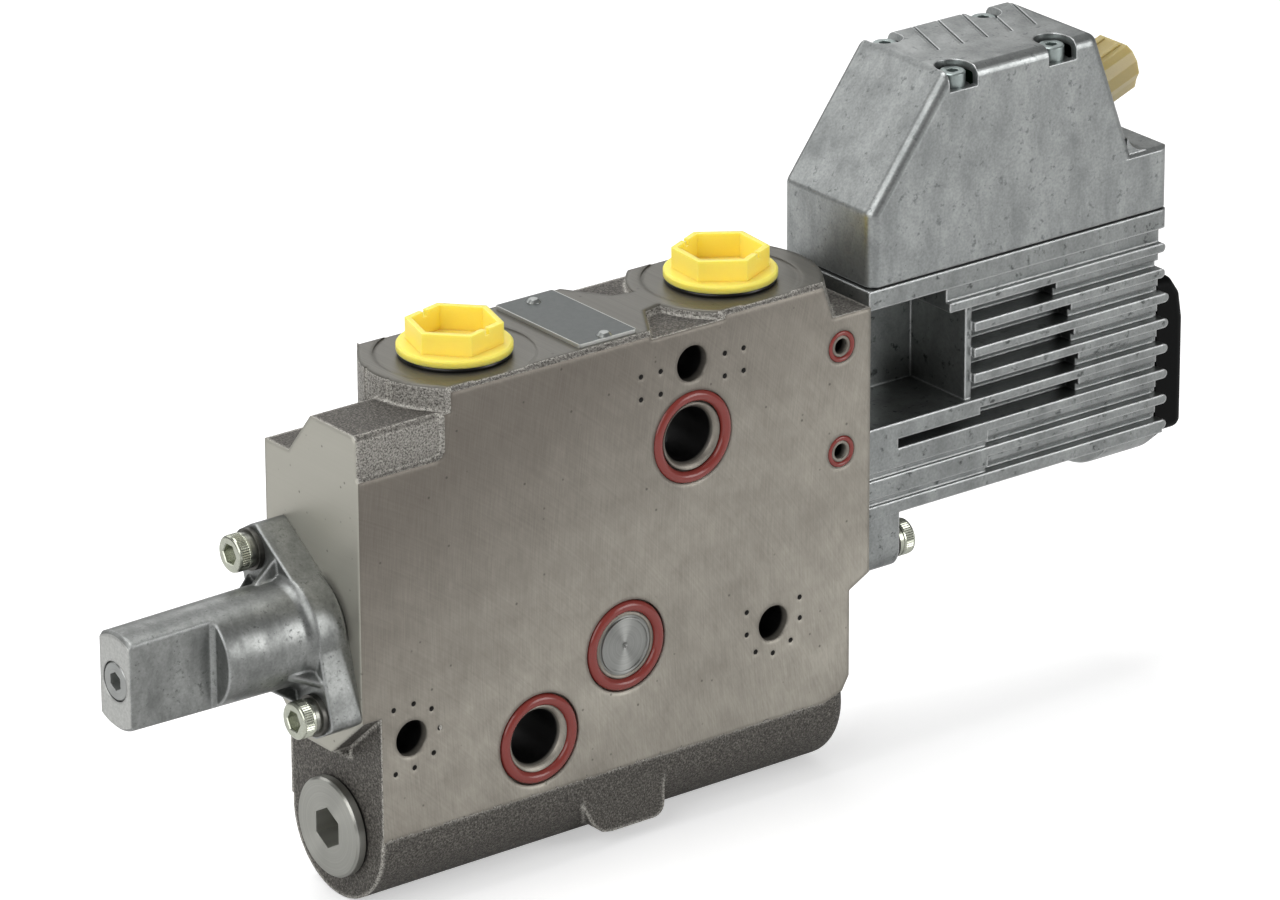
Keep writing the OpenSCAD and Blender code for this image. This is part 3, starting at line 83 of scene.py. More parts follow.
# Studio: soft boxes on the left, above, on the right and behind a matt white table.
# The camera alone sees the table glow a little and turn white far off, so that glow
# lights nothing and the valve keeps its shadow.
mm = 0.001


def linear(code):
    channels = [int(code[i:i + 2], 16) / 255 for i in (1, 3, 5)]
    return tuple(c / 12.92 if c <= 0.04045 else ((c + 0.055) / 1.055) ** 2.4 for c in channels) + (1,)


def add(tree, kind, values=None, links=None, **settings):
    node = tree.nodes.new(kind)
    for name, value in settings.items():
        setattr(node, name, value)
    for name, value in (values or {}).items():
        node.inputs[name].default_value = value
    for name, source in (links or {}).items():
        if isinstance(source, bpy.types.Node):
            source = source.outputs[0]
        tree.links.new(source, node.inputs[name])
    return node


def soft_box(name, place, width, height, watts):
    light = bpy.data.lights.new(name, "AREA")
    light.shape = "RECTANGLE"
    light.size = width
    light.size_y = height
    light.energy = watts
    lamp = bpy.data.objects.new(name, light)
    scene.collection.objects.link(lamp)
    lamp.location = place
    lamp.rotation_euler = (Vector(place) - valve_middle).to_track_quat("Z", "Y").to_euler()


valve_middle = Vector((0.09, 0.02, 0.05))
soft_box("left soft box", (-1.15, -0.25, 0.75), 1.4, 1.2, 13.5)
soft_box("top soft box", (0.05, 0.25, 1.25), 1.0, 0.7, 9)
soft_box("right soft box", (0.9, -1.15, 0.45), 0.7, 0.8, 7.5)
soft_box("back soft box", (0.1, 1.15, 0.65), 2.1, 0.6, 5.5)

sky = bpy.data.worlds.new("studio air")
sky.use_nodes = True
scene.world = sky
tree = sky.node_tree
tree.nodes.clear()
seen = add(tree, "ShaderNodeLightPath").outputs["Is Camera Ray"]
backdrop = add(tree, "ShaderNodeBackground", {"Strength": 1})
air = add(tree, "ShaderNodeBackground", {"Strength": 0.27})
choice = add(tree, "ShaderNodeMixShader", links={0: seen, 1: air, 2: backdrop})
add(tree, "ShaderNodeOutputWorld", links={"Surface": choice})

table_top = bpy.data.materials.new("matt white table")
table_top.use_nodes = True
tree = table_top.node_tree
tree.nodes.clear()
seen = add(tree, "ShaderNodeLightPath").outputs["Is Camera Ray"]
paint = add(tree, "ShaderNodeBsdfDiffuse", {"Color": linear("#e7e7e7")})
glow = add(tree, "ShaderNodeEmission", {"Strength": 0.45})
near = add(tree, "ShaderNodeAddShader", links={0: paint, 1: glow})
white = add(tree, "ShaderNodeEmission", {"Strength": 1})
spot = add(tree, "ShaderNodeTexCoord").outputs["Object"]
away = add(tree, "ShaderNodeVectorMath", links={0: spot}, operation="LENGTH").outputs["Value"]
faded = add(tree, "ShaderNodeMapRange", {"From Min": 0.6, "From Max": 1.6}, {"Value": away})
shown = add(tree, "ShaderNodeMixShader", links={0: faded, 1: near, 2: white})
choice = add(tree, "ShaderNodeMixShader", links={0: seen, 1: paint, 2: shown})
add(tree, "ShaderNodeOutputMaterial", links={"Surface": choice})

half_table = 9
table_z = cad_box[0].z - 0.3 * mm
corners = [(x * half_table, y * half_table, table_z) for x, y in ((-1, -1), (1, -1), (1, 1), (-1, 1))]
plane = bpy.data.meshes.new("table")
plane.from_pydata(corners, [], [(0, 1, 2, 3)])
plane.materials.append(table_top)
table = bpy.data.objects.new("table", plane)
scene.collection.objects.link(table)


# Valve body: grey cast iron from a sand mould, with faces that were milled and ground.
# The casting stays dark and gritty with bright broken edges, and its upper walls are painted brighter as
# painted light. The ground faces are warm grey, crossed by the fine arcs of the wheel, and the bores are
# painted black inside as painted shade.
def finish(material, *nodes):
    for name in nodes:
        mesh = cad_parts[name].data
        mesh.materials.clear()
        mesh.materials.append(material)


def begin(name):
    material = bpy.data.materials.new(name)
    material.use_nodes = True
    tree = material.node_tree
    tree.nodes.clear()
    return material, tree, add(tree, "ShaderNodeTexCoord").outputs["Object"]


def box_share(tree, place, low, high):
    middle = (Vector(low) + Vector(high)) / 2 * mm
    half = (Vector(high) - Vector(low)) / 2 * mm
    off = add(tree, "ShaderNodeVectorMath", {1: middle}, {0: place}, operation="SUBTRACT")
    off = add(tree, "ShaderNodeVectorMath", links={0: off}, operation="ABSOLUTE")
    off = add(tree, "ShaderNodeVectorMath", {1: half}, {0: off}, operation="SUBTRACT")
    side = add(tree, "ShaderNodeSeparateXYZ", links={0: off})
    out = add(tree, "ShaderNodeMath", links={0: side.outputs[0], 1: side.outputs[1]}, operation="MAXIMUM")
    out = add(tree, "ShaderNodeMath", links={0: out, 1: side.outputs[2]}, operation="MAXIMUM")
    return add(tree, "ShaderNodeMath", {1: 0}, {0: out}, operation="LESS_THAN")


def worn_edges(tree, radius, narrow, wide):
    soft = add(tree, "ShaderNodeBevel", {"Radius": radius * mm}, samples=6)
    flat = add(tree, "ShaderNodeNewGeometry").outputs["True Normal"]
    bent = add(tree, "ShaderNodeVectorMath", links={0: soft, 1: flat}, operation="DOT_PRODUCT")
    worn = add(tree, "ShaderNodeMapRange", {"From Min": narrow, "From Max": wide},
               {"Value": bent.outputs["Value"]})
    return soft, worn


def arcs_about(tree, place, centre, pitch, run):
    off = add(tree, "ShaderNodeVectorMath", {1: Vector(centre) * mm}, {0: place}, operation="SUBTRACT")
    flat = add(tree, "ShaderNodeVectorMath", {1: (1, 0, 1)}, {0: off}, operation="MULTIPLY")
    away = add(tree, "ShaderNodeVectorMath", links={0: flat}, operation="LENGTH").outputs["Value"]
    height = add(tree, "ShaderNodeSeparateXYZ", links={0: place}).outputs[2]
    both = add(tree, "ShaderNodeCombineXYZ", links={0: away, 1: height})
    repeats = (1 / (pitch * mm), 1 / (run * mm), 1)
    fine = add(tree, "ShaderNodeVectorMath", {1: repeats}, {0: both}, operation="MULTIPLY")
    return add(tree, "ShaderNodeTexNoise", {"Scale": 1, "Detail": 2}, {"Vector": fine})


def ground_faces(tree, place, height):
    low, high = [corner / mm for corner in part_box("valve_body")]
    start = low.x - 1
    end = high.x + 1
    rim = -27.2
    sound = -24
    chip = 2.381
    front = box_share(tree, place, (start, -1, rim), (end, 0.15, 92.3))
    rear = box_share(tree, place, (start, high.y - 0.15, -30), (end, high.y + 1, 92.3))
    cap_end = box_share(tree, place, (low.x - 0.2, 0.1, -4.5), (low.x + 0.2, 40.9, 87))
    top = box_share(tree, place, (start, 1.3, high.z - 0.5), (end, 39.7, high.z + 0.15))
    pilot_end = box_share(tree, place, (high.x - 0.1, 0.1, 6), (high.x + 1, 40.9, 83))

    # The casting's lower rim is chipped, so the front face starts raggedly there.
    chips = add(tree, "ShaderNodeTexNoise", {"Scale": 1 / (chip * mm), "Detail": 3, "Roughness": 0.7},
                {"Vector": place})
    firm = add(tree, "ShaderNodeMapRange", {"From Min": rim * mm, "From Max": sound * mm,
               "To Min": 0.44, "To Max": 1}, {"Value": height})
    kept = add(tree, "ShaderNodeMath", links={0: firm, 1: chips}, operation="GREATER_THAN")
    ground = add(tree, "ShaderNodeMath", links={0: front, 1: kept}, operation="MULTIPLY")
    for face in (rear, cap_end, top, pilot_end):
        ground = add(tree, "ShaderNodeMath", links={0: ground, 1: face}, operation="MAXIMUM")
    return ground, top, cap_end


def front_holes(tree, place):
    tie_rods = ((0, 0), (118, 0.8), (91, 81))
    galleries = ((91.2, 60.5), (40.7, -11.5), (69.1, 7.3))
    pilot_ports = ((140.75, 73.7), (140.75, 44))
    bore_painted_shade = None
    turned = None
    for spots, bore_r, seat_r in ((tie_rods, 5.3, 5.3), (galleries, 7.9, 13.1), (pilot_ports, 2.5, 4.7)):
        for x, z in spots:
            axis = (x * mm, 0, z * mm)
            off = add(tree, "ShaderNodeVectorMath", {1: axis}, {0: place}, operation="SUBTRACT")
            off = add(tree, "ShaderNodeVectorMath", {1: (1, 0, 1)}, {0: off}, operation="MULTIPLY")
            away = add(tree, "ShaderNodeVectorMath", links={0: off}, operation="LENGTH").outputs["Value"]
            bore = add(tree, "ShaderNodeMath", {1: bore_r * mm}, {0: away}, operation="LESS_THAN")
            seat = add(tree, "ShaderNodeMath", {1: seat_r * mm}, {0: away}, operation="LESS_THAN")
            if bore_painted_shade:
                bore = add(tree, "ShaderNodeMath", links={0: bore_painted_shade, 1: bore}, operation="MAXIMUM")
                seat = add(tree, "ShaderNodeMath", links={0: turned, 1: seat}, operation="MAXIMUM")
            bore_painted_shade = bore
            turned = seat
    return bore_painted_shade, turned


def sand_cast_tone(tree, place, grit, height, worn):
    skin = add(tree, "ShaderNodeValToRGB", links={"Fac": grit})
    skin.color_ramp.elements[0].position = 0.34
    skin.color_ramp.elements[0].color = linear("#35322f")
    skin.color_ramp.elements[1].position = 0.70
    skin.color_ramp.elements[1].color = linear("#8a867f")
    skin.color_ramp.elements.new(0.52).color = linear("#5b5853")
    broken_and_painted_lit_skin = add(tree, "ShaderNodeValToRGB", links={"Fac": grit})
    broken_and_painted_lit_skin.color_ramp.elements[0].position = 0.36
    broken_and_painted_lit_skin.color_ramp.elements[0].color = linear("#66625b")
    broken_and_painted_lit_skin.color_ramp.elements[1].position = 0.56
    broken_and_painted_lit_skin.color_ramp.elements[1].color = linear("#dedbd3")

    # The steep walls near the top, round the two ports, are painted a little brighter as painted light.
    # Every edge is bright.
    upper = add(tree, "ShaderNodeMapRange", {"From Min": 70 * mm, "From Max": 78 * mm, "To Max": 0.4},
                {"Value": height})
    facing = add(tree, "ShaderNodeNewGeometry").outputs["True Normal"]
    facing = add(tree, "ShaderNodeSeparateXYZ", links={0: facing}).outputs[2]
    wall = add(tree, "ShaderNodeMapRange", {"From Min": 0.3, "From Max": 0.8, "To Min": 1, "To Max": 0},
               {"Value": facing})
    painted_light_on_upper_walls = add(tree, "ShaderNodeMath", links={0: upper, 1: wall}, operation="MULTIPLY")
    wear_and_painted_light = add(tree, "ShaderNodeMath", links={0: painted_light_on_upper_walls, 1: worn}, operation="MAXIMUM")
    tone = add(tree, "ShaderNodeMix", links={"Factor": wear_and_painted_light, "A": skin, "B": broken_and_painted_lit_skin},
               data_type="RGBA").outputs["Result"]

    # The round marks punched beside the tie rods are painted dark inside, a painted shade in their dents.
    for low, high in (((-9, 0.1, -12), (9, 1.2, 10)), ((108, 0.1, -9), (128, 1.2, 11)),
                      ((72, 0.1, 70), (110, 1.2, 87))):
        punch_mark_painted_shade = box_share(tree, place, low, high)
        tone = add(tree, "ShaderNodeMix", {"B": linear("#23211f")}, {"Factor": punch_mark_painted_shade, "A": tone},
                   data_type="RGBA").outputs["Result"]
    return tone


def ground_tone(tree, place, arcs, top, cap_end):
    stain = 11.11
    cloud = 62.5
    pore = 3.03
    stains = add(tree, "ShaderNodeTexNoise", {"Scale": 1 / (stain * mm), "Detail": 6, "Roughness": 0.66},
                 {"Vector": place})
    tone = add(tree, "ShaderNodeValToRGB", links={"Fac": stains})
    tone.color_ramp.elements[0].position = 0.30
    tone.color_ramp.elements[0].color = linear("#9f9a90")
    tone.color_ramp.elements[1].position = 0.72
    tone.color_ramp.elements[1].color = linear("#bbb6ab")

    # Oil lies in wide clouds, and the face is painted darker towards the upper left as painted shade.
    clouds = add(tree, "ShaderNodeTexNoise", {"Scale": 1 / (cloud * mm), "Detail": 2}, {"Vector": place})
    oil_and_painted_shade = add(tree, "ShaderNodeMapRange", {"From Min": 0.35, "From Max": 0.65, "To Max": 0.35},
                {"Value": clouds})
    across = add(tree, "ShaderNodeVectorMath", {1: (3.5, 0, -8)}, {0: place}, operation="DOT_PRODUCT")
    painted_shade_upper_left = add(tree, "ShaderNodeMapRange", {"From Min": -0.5, "From Max": 0.35, "To Min": 0.85,
                  "To Max": 0}, {"Value": across.outputs["Value"]})
    oil_and_painted_shade = add(tree, "ShaderNodeMath", links={0: oil_and_painted_shade, 1: painted_shade_upper_left}, operation="MAXIMUM")
    tone = add(tree, "ShaderNodeMix", {"B": linear("#68625b")}, {"Factor": oil_and_painted_shade, "A": tone},
               data_type="RGBA").outputs["Result"]

    # The top was milled, and it is painted darker as painted shade. The end under the cap is the cleanest
    # face.
    tone = add(tree, "ShaderNodeMix", {"B": linear("#706e68")}, {"Factor": top, "A": tone},
               data_type="RGBA").outputs["Result"]
    tone = add(tree, "ShaderNodeMix", {"B": linear("#b2b0a6")}, {"Factor": cap_end, "A": tone},
               data_type="RGBA").outputs["Result"]
    streak = add(tree, "ShaderNodeMapRange", {"To Min": 0.30, "To Max": 0.08}, {"Value": cap_end})
    tone = add(tree, "ShaderNodeMix", links={"Factor": streak, "A": tone, "B": arcs},
               data_type="RGBA", blend_type="OVERLAY").outputs["Result"]

    # A few open pores of the casting show as small dark pits.
    pores = add(tree, "ShaderNodeTexVoronoi", {"Scale": 1 / (pore * mm), "Randomness": 1}, {"Vector": place})
    draw = add(tree, "ShaderNodeSeparateColor", links={0: pores.outputs["Color"]})
    rare = add(tree, "ShaderNodeMath", {1: 0.16}, {0: draw}, operation="LESS_THAN")
    pitted = add(tree, "ShaderNodeMapRange", {"From Min": 0.07, "From Max": 0.16, "To Min": 0.6,
                 "To Max": 0}, {"Value": pores})
    pitted = add(tree, "ShaderNodeMath", links={0: pitted, 1: rare}, operation="MULTIPLY")
    return add(tree, "ShaderNodeMix", {"B": linear("#3b3834")}, {"Factor": pitted, "A": tone},
               data_type="RGBA").outputs["Result"]


def cast_and_ground_iron():
    # Sand grit and grinding arcs are finer than the picture shows, so they are drawn coarser.
    grain = 0.5263
    grain_h = 0.32
    lump = 2.381
    lump_h = 0.3
    arc_h = 0.04
    material, tree, place = begin("sand cast iron with ground faces")
    along = add(tree, "ShaderNodeSeparateXYZ", links={0: place})
    depth = along.outputs[1]
    height = along.outputs[2]
    ground, top, cap_end = ground_faces(tree, place, height)
    bore_painted_shade, turned = front_holes(tree, place)
    ground = add(tree, "ShaderNodeMath", links={0: ground, 1: turned}, operation="MAXIMUM")
    # Deeper than 0.6 mm into the front, the bores are painted near black and lose their metal, a painted
    # shade.
    deep = add(tree, "ShaderNodeMapRange", {"From Min": 0.6 * mm, "From Max": 3 * mm}, {"Value": depth})
    bore_painted_shade = add(tree, "ShaderNodeMath", links={0: bore_painted_shade, 1: deep}, operation="MULTIPLY")

    grit = add(tree, "ShaderNodeTexNoise", {"Scale": 1 / (grain * mm), "Detail": 3, "Roughness": 0.65},
               {"Vector": place})
    lumps = add(tree, "ShaderNodeTexNoise", {"Scale": 1 / (lump * mm), "Detail": 2}, {"Vector": place})
    upright = arcs_about(tree, place, (420, 0, 20), 0.42, 9)
    crossing = arcs_about(tree, place, (-120, 0, -140), 0.55, 14)
    arcs = add(tree, "ShaderNodeMix", {"Factor": 0.4}, {"A": upright, "B": crossing})

    soft, worn = worn_edges(tree, 1.9, 0.998, 0.88)
    cast = sand_cast_tone(tree, place, grit, height, worn)
    milled = ground_tone(tree, place, arcs, top, cap_end)
    colour = add(tree, "ShaderNodeMix", links={"Factor": ground, "A": cast, "B": milled},
                 data_type="RGBA").outputs["Result"]
    colour = add(tree, "ShaderNodeMix", {"B": linear("#0b0a0a")}, {"Factor": bore_painted_shade, "A": colour},
                 data_type="RGBA").outputs["Result"]
    rough = add(tree, "ShaderNodeMapRange", {"To Min": 0.55, "To Max": 0.42}, {"Value": ground})
    metal = add(tree, "ShaderNodeMapRange", {"To Min": 0.5, "To Max": 0.85}, {"Value": ground})
    metal = add(tree, "ShaderNodeMath", links={0: metal, 1: bore_painted_shade}, operation="SUBTRACT", use_clamp=True)
    gritty = add(tree, "ShaderNodeMapRange", {"To Min": 1, "To Max": 0}, {"Value": ground})
    grains = add(tree, "ShaderNodeBump", {"Distance": grain_h * mm},
                 {"Height": grit, "Strength": gritty, "Normal": soft})
    swell = add(tree, "ShaderNodeBump", {"Distance": lump_h * mm},
                {"Height": lumps, "Strength": gritty, "Normal": grains})
    lines = add(tree, "ShaderNodeBump", {"Strength": 0.16, "Distance": arc_h * mm},
                {"Height": arcs, "Normal": swell})
    shader = add(tree, "ShaderNodeBsdfPrincipled",
                 links={"Base Color": colour, "Metallic": metal, "Roughness": rough, "Normal": lines})
    add(tree, "ShaderNodeOutputMaterial", links={"Surface": shader})
    return material


finish(cast_and_ground_iron(), "valve_body")


# End cap: an aluminium casting, tumbled bright, with milled flats on its square tang.
# Marks, specks and edges each have a size in millimetres and a share of how far they show.
# The skin's own grain is finer than the picture shows, so it is drawn coarser.
def cast_aluminium(name, pale, dark, roughness, marks, specks, edges, milled_face_painted_bright=None):
    grain = 0.7143
    grain_h = 0.08
    nook = 10
    mark, mark_share = marks
    speck, speck_share = specks
    edge, edge_share = edges
    material, tree, place = begin(name)
    drawn = add(tree, "ShaderNodeMapping", {"Scale": (1, 1, 0.5)}, {"Vector": place})
    flow = add(tree, "ShaderNodeTexNoise", {"Scale": 1 / (mark * mm), "Detail": 5, "Roughness": 0.6,
               "Distortion": 0.3}, {"Vector": drawn})
    spots = add(tree, "ShaderNodeTexNoise", {"Scale": 1 / (speck * mm), "Detail": 4, "Roughness": 0.7},
                {"Vector": place})
    fine = add(tree, "ShaderNodeTexNoise", {"Scale": 1 / (grain * mm), "Detail": 2}, {"Vector": place})
    flowed = add(tree, "ShaderNodeMapRange", {"From Min": 0.35, "From Max": 0.65, "To Max": mark_share},
                 {"Value": flow})
    spotted = add(tree, "ShaderNodeMapRange", {"From Min": 0.56, "From Max": 0.68, "To Max": speck_share},
                  {"Value": spots})
    # Ambient occlusion paints corners and hollows darker, a painted shade; the end cap gets it too.
    free = add(tree, "ShaderNodeAmbientOcclusion", {"Distance": nook * mm}, samples=6).outputs["AO"]
    painted_shade_in_nooks = add(tree, "ShaderNodeMapRange", {"From Min": 0.1, "From Max": 0.55, "To Min": 0.95,
                 "To Max": 0}, {"Value": free})
    stains_and_painted_shade = add(tree, "ShaderNodeMath", links={0: flowed, 1: spotted}, operation="MAXIMUM")
    stains_and_painted_shade = add(tree, "ShaderNodeMath", links={0: stains_and_painted_shade, 1: painted_shade_in_nooks}, operation="MAXIMUM")
    tone = add(tree, "ShaderNodeMix", {"A": linear(pale), "B": linear(dark)}, {"Factor": stains_and_painted_shade},
               data_type="RGBA").outputs["Result"]

    soft, worn = worn_edges(tree, edge, 0.985, 0.84)
    clean = add(tree, "ShaderNodeMapRange", {"From Min": 0.25, "From Max": 0.6, "To Max": edge_share},
                {"Value": free})
    rubbed = add(tree, "ShaderNodeMath", links={0: worn, 1: clean}, operation="MULTIPLY")
    tone = add(tree, "ShaderNodeMix", {"B": linear("#e6e8e8")}, {"Factor": rubbed, "A": tone},
               data_type="RGBA").outputs["Result"]
    # The milled end face is painted paler, partly its machined finish and partly a painted reflection.
    if milled_face_painted_bright:
        milled = box_share(tree, place, *milled_face_painted_bright)
        tone = add(tree, "ShaderNodeMix", {"B": linear("#b6b7b4")}, {"Factor": milled, "A": tone},
                   data_type="RGBA").outputs["Result"]
    tone = add(tree, "ShaderNodeMix", {"Factor": 0.28}, {"A": tone, "B": fine},
               data_type="RGBA", blend_type="OVERLAY").outputs["Result"]
    rough = add(tree, "ShaderNodeMapRange", {"To Min": roughness, "To Max": roughness + 0.16},
                {"Value": stains_and_painted_shade})
    skin = add(tree, "ShaderNodeBump", {"Strength": 0.22, "Distance": grain_h * mm},
               {"Height": fine, "Normal": soft})
    shader = add(tree, "ShaderNodeBsdfPrincipled", {"Metallic": 0.9},
                 {"Base Color": tone, "Roughness": rough, "Normal": skin})
    add(tree, "ShaderNodeOutputMaterial", links={"Surface": shader})
    return material


low, high = [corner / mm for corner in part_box("end_cap")]
# The cap's end face is painted paler, partly machined finish and partly painted reflection.
tip = ((low.x - 1, low.y, low.z), (low.x + 0.2, high.y, high.z))
finish(cast_aluminium("tumbled cast aluminium", "#939593", "#4c4e4d", 0.34, marks=(6, 0.5),
                      specks=(1.3, 0.7), edges=(1.3, 0.35), milled_face_painted_bright=tip), "end_cap")


# Pilot housing and electronics cover: die cast aluminium, left as it came from the mould.
# Both carry flow marks and dark specks, their corners and hollows are painted darker as painted shade, and
# their edges are rubbed bright.
# The cover is paler, and its edges are sharper.
finish(cast_aluminium("die cast aluminium housing", "#9b9e9d", "#2c2f2f", 0.32, marks=(9, 0.36),
                      specks=(3.0, 0.8), edges=(0.9, 0.9)), "pilot_housing")
finish(cast_aluminium("die cast aluminium cover", "#a6a9a8", "#55595a", 0.32, marks=(9, 0.45),
                      specks=(2.4, 0.65), edges=(0.5, 0.9)), "electronics_cover")


# Washers, tubes, cover screws and rivets: turned or rolled steel, zinc plated, blackened or
# phosphated, with rivets of aluminium. Zinc gives a pale gloss with a faint warm tint,
# phosphate a dull dark grey.
def steel(name, colour, roughness, grain=1.2, edge=0.25, turned=None, node=None):
    grain_h = 0.03
    material, tree, place = begin(name)
    if turned:
        low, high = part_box(node)
        across = {"X": (0, 1, 1), "Y": (1, 0, 1)}[turned]
        off = add(tree, "ShaderNodeVectorMath", {1: (low + high) / 2}, {0: place}, operation="SUBTRACT")
        off = add(tree, "ShaderNodeVectorMath", {1: across}, {0: off}, operation="MULTIPLY")
        away = add(tree, "ShaderNodeVectorMath", links={0: off}, operation="LENGTH").outputs["Value"]
        place = add(tree, "ShaderNodeCombineXYZ", links={0: away})
    cloud = add(tree, "ShaderNodeTexNoise", {"Scale": 1 / (grain * mm), "Detail": 3}, {"Vector": place})
    tint = add(tree, "ShaderNodeMix", {"Factor": 0.25, "A": linear(colour)}, {"B": cloud},
               data_type="RGBA", blend_type="OVERLAY").outputs["Result"]
    soft = add(tree, "ShaderNodeBevel", {"Radius": edge * mm}, samples=6)
    skin = add(tree, "ShaderNodeBump", {"Strength": 0.12, "Distance": grain_h * mm},
               {"Height": cloud, "Normal": soft})
    shader = add(tree, "ShaderNodeBsdfPrincipled", {"Metallic": 0.95, "Roughness": roughness},
                 {"Base Color": tint, "Normal": skin})
    if turned:
        lathe = add(tree, "ShaderNodeTangent", direction_type="RADIAL", axis=turned)
        shader.inputs["Anisotropic"].default_value = 0.85
        shader.inputs["Anisotropic Rotation"].default_value = 0.25
        tree.links.new(lathe.outputs[0], shader.inputs["Tangent"])
    add(tree, "ShaderNodeOutputMaterial", links={"Surface": shader})
    return material


finish(steel("zinc plated steel", "#b6b9ab", 0.24), "pilot_spring_washers", "solenoid_pole_tube",
       "sensor_tube")
finish(steel("blue zinc plated steel", "#a4aeac", 0.34), "cover_screws")
finish(steel("riveted aluminium pin", "#9a9d9b", 0.3), "plate_rivets")
finish(steel("blackened steel", "#3a3937", 0.45), "pilot_washers")
finish(steel("phosphated flat steel", "#5d5c58", 0.40), "end_cap_washers", "solenoid_armature")
finish(steel("spring steel", "#8d8e87", 0.32), "end_cap_spring_washers")


# Locking plug, bleed screw and middle disc: turned on a lathe, with an end face in sight.
# The tool leaves rings round the axis, and they spread the light into a bow tie. The rings are
# drawn 0.5 mm apart, coarser than they are.
finish(steel("turned steel", "#a5a59f", 0.36, grain=0.5, turned="X", node="compensator_lock_plug"),
       "compensator_lock_plug")
finish(steel("turned aluminium screw", "#a0a2a0", 0.32, grain=0.5, turned="X", node="end_cap_bleed_screw"),
       "end_cap_bleed_screw")
finish(steel("turned steel disc", "#9a9b98", 0.42, grain=0.5, turned="Y", node="neutral_port_disc"),
       "neutral_port_disc")


# Spools and sensor rod: hardened steel, ground and honed to slide in their bores.
# They are the brightest and smoothest metal of the section.
finish(steel("ground steel", "#c9cacb", 0.22), "main_spool", "compensator_spool", "pilot_spool",
       "sensor_core_rod")


# Screws of the end cap and the pilot stage: M6 low head socket screws, cold headed and zinc plated.
# Their heads are knurled all round, which the light picks out as fine bright teeth. Each group has
# two, at the low near corner and the high far corner of its node's box.
knurled_zinc = steel("knurled zinc plated steel", "#b9bcae", 0.26, edge=0.03)


def piece_from(work, name, material, sharp):
    bmesh.ops.recalc_face_normals(work, faces=work.faces)
    mesh = bpy.data.meshes.new(name)
    work.to_mesh(mesh)
    work.free()
    mesh.shade_smooth()
    mesh.set_sharp_from_angle(angle=sharp)
    mesh.materials.append(material)
    piece = bpy.data.objects.new(name, mesh)
    scene.collection.objects.link(piece)
    return piece


def knurled_screws(name, node, way):
    low, high = [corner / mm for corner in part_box(node)]
    sides = 96
    tooth = 0.2
    thread_r = 3.0
    point_r = 2.4
    point_h = 0.6
    head_r = 5.0
    head_h = 4.0
    socket = 2.5
    socket_t = 2.4
    bevel = 0.25
    grip = high.x - low.x - head_h
    seat_x = low.x + head_h if way < 0 else high.x - head_h
    axes = ((low.y + head_r, low.z + head_r), (high.y - head_r, high.z - head_r))

    # Each ring is its height over the seat, its radius and the depth of its teeth.
    shank = ((-grip, point_r, 0), (-grip + point_h, thread_r, 0), (-0.01, thread_r, 0))
    knurl = ((0, 4.75, 0), (0.2, head_r, 0), (0.7, head_r, 0), (0.8, head_r, tooth), (3.1, head_r, tooth))
    crown = ((3.25, head_r - 0.05, 0), (3.6, head_r - 0.1, 0), (3.85, head_r - 0.35, 0),
             (head_h, head_r - 0.7, 0))
    loops = []
    for out, radius, cut in shank + knurl + crown:
        loops.append([(out, radius - cut * (i % 2)) for i in range(sides)])
    for out, across in ((head_h, socket + bevel), (head_h - bevel, socket), (head_h - socket_t, socket)):
        loops.append([(out, across / math.cos((i / sides * math.tau) % (math.tau / 6) - math.tau / 12))
                      for i in range(sides)])

    work = bmesh.new()
    for y, z in axes:
        rows = []
        for loop in loops:
            rows.append([work.verts.new(((seat_x + way * out) * mm,
                                         (y + r * math.cos(i / sides * math.tau)) * mm,
                                         (z + r * math.sin(i / sides * math.tau)) * mm))
                         for i, (out, r) in enumerate(loop)])
        for a, b in zip(rows, rows[1:]):
            for i in range(sides):
                work.faces.new((a[i], a[(i + 1) % sides], b[(i + 1) % sides], b[i]))
        work.faces.new(rows[0])
        work.faces.new(rows[-1])
    piece = piece_from(work, name, knurled_zinc, 0.35)
    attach(piece, "valve_section")
    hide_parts(node)


knurled_screws("knurled_end_cap_screws", "end_cap_screws", -1)
knurled_screws("knurled_pilot_screws", "pilot_screws", 1)


# Springs: round steel wire, wound cold and phosphated. Each stands between a seat and the end of
# its spool.
phosphated = steel("phosphated steel", "#5d5c58", 0.40)


def wound_spring(name, node, wire_r, turns):
    low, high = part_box(node)
    middle = (low + high) / 2
    length = high.x - low.x
    wire = wire_r * mm
    radius = (high.z - low.z) / 2 - wire
    pitch = (length - 2 * wire) / turns
    steps = 24
    sides = 12
    work = bmesh.new()
    rows = []
    for i in range(round(turns * steps) + 1):
        turn = i / steps * math.tau
        row = []
        for j in range(sides):
            round_wire = j / sides * math.tau
            out = radius + wire * math.sin(round_wire)
            row.append(work.verts.new((low.x + wire + pitch * i / steps + wire * math.cos(round_wire),
                                       middle.y + out * math.cos(turn), middle.z + out * math.sin(turn))))
        rows.append(row)
    for a, b in zip(rows, rows[1:]):
        for j in range(sides):
            work.faces.new((a[j], a[(j + 1) % sides], b[(j + 1) % sides], b[j]))
    work.faces.new(rows[0])
    work.faces.new(rows[-1])
    piece = piece_from(work, name, phosphated, 1.0)
    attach(piece, "valve_section")
    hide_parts(node)
    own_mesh(piece)


wound_spring("wound_spring_cap_side", "spool_spring_cap_side", 1.2, 4.5)
wound_spring("wound_spring_pilot_side", "spool_spring_pilot_side", 1.2, 4.5)
wound_spring("wound_compensator_spring", "compensator_spring", 0.9, 5)
wound_spring("wound_pilot_spring", "pilot_spring", 0.4, 4)


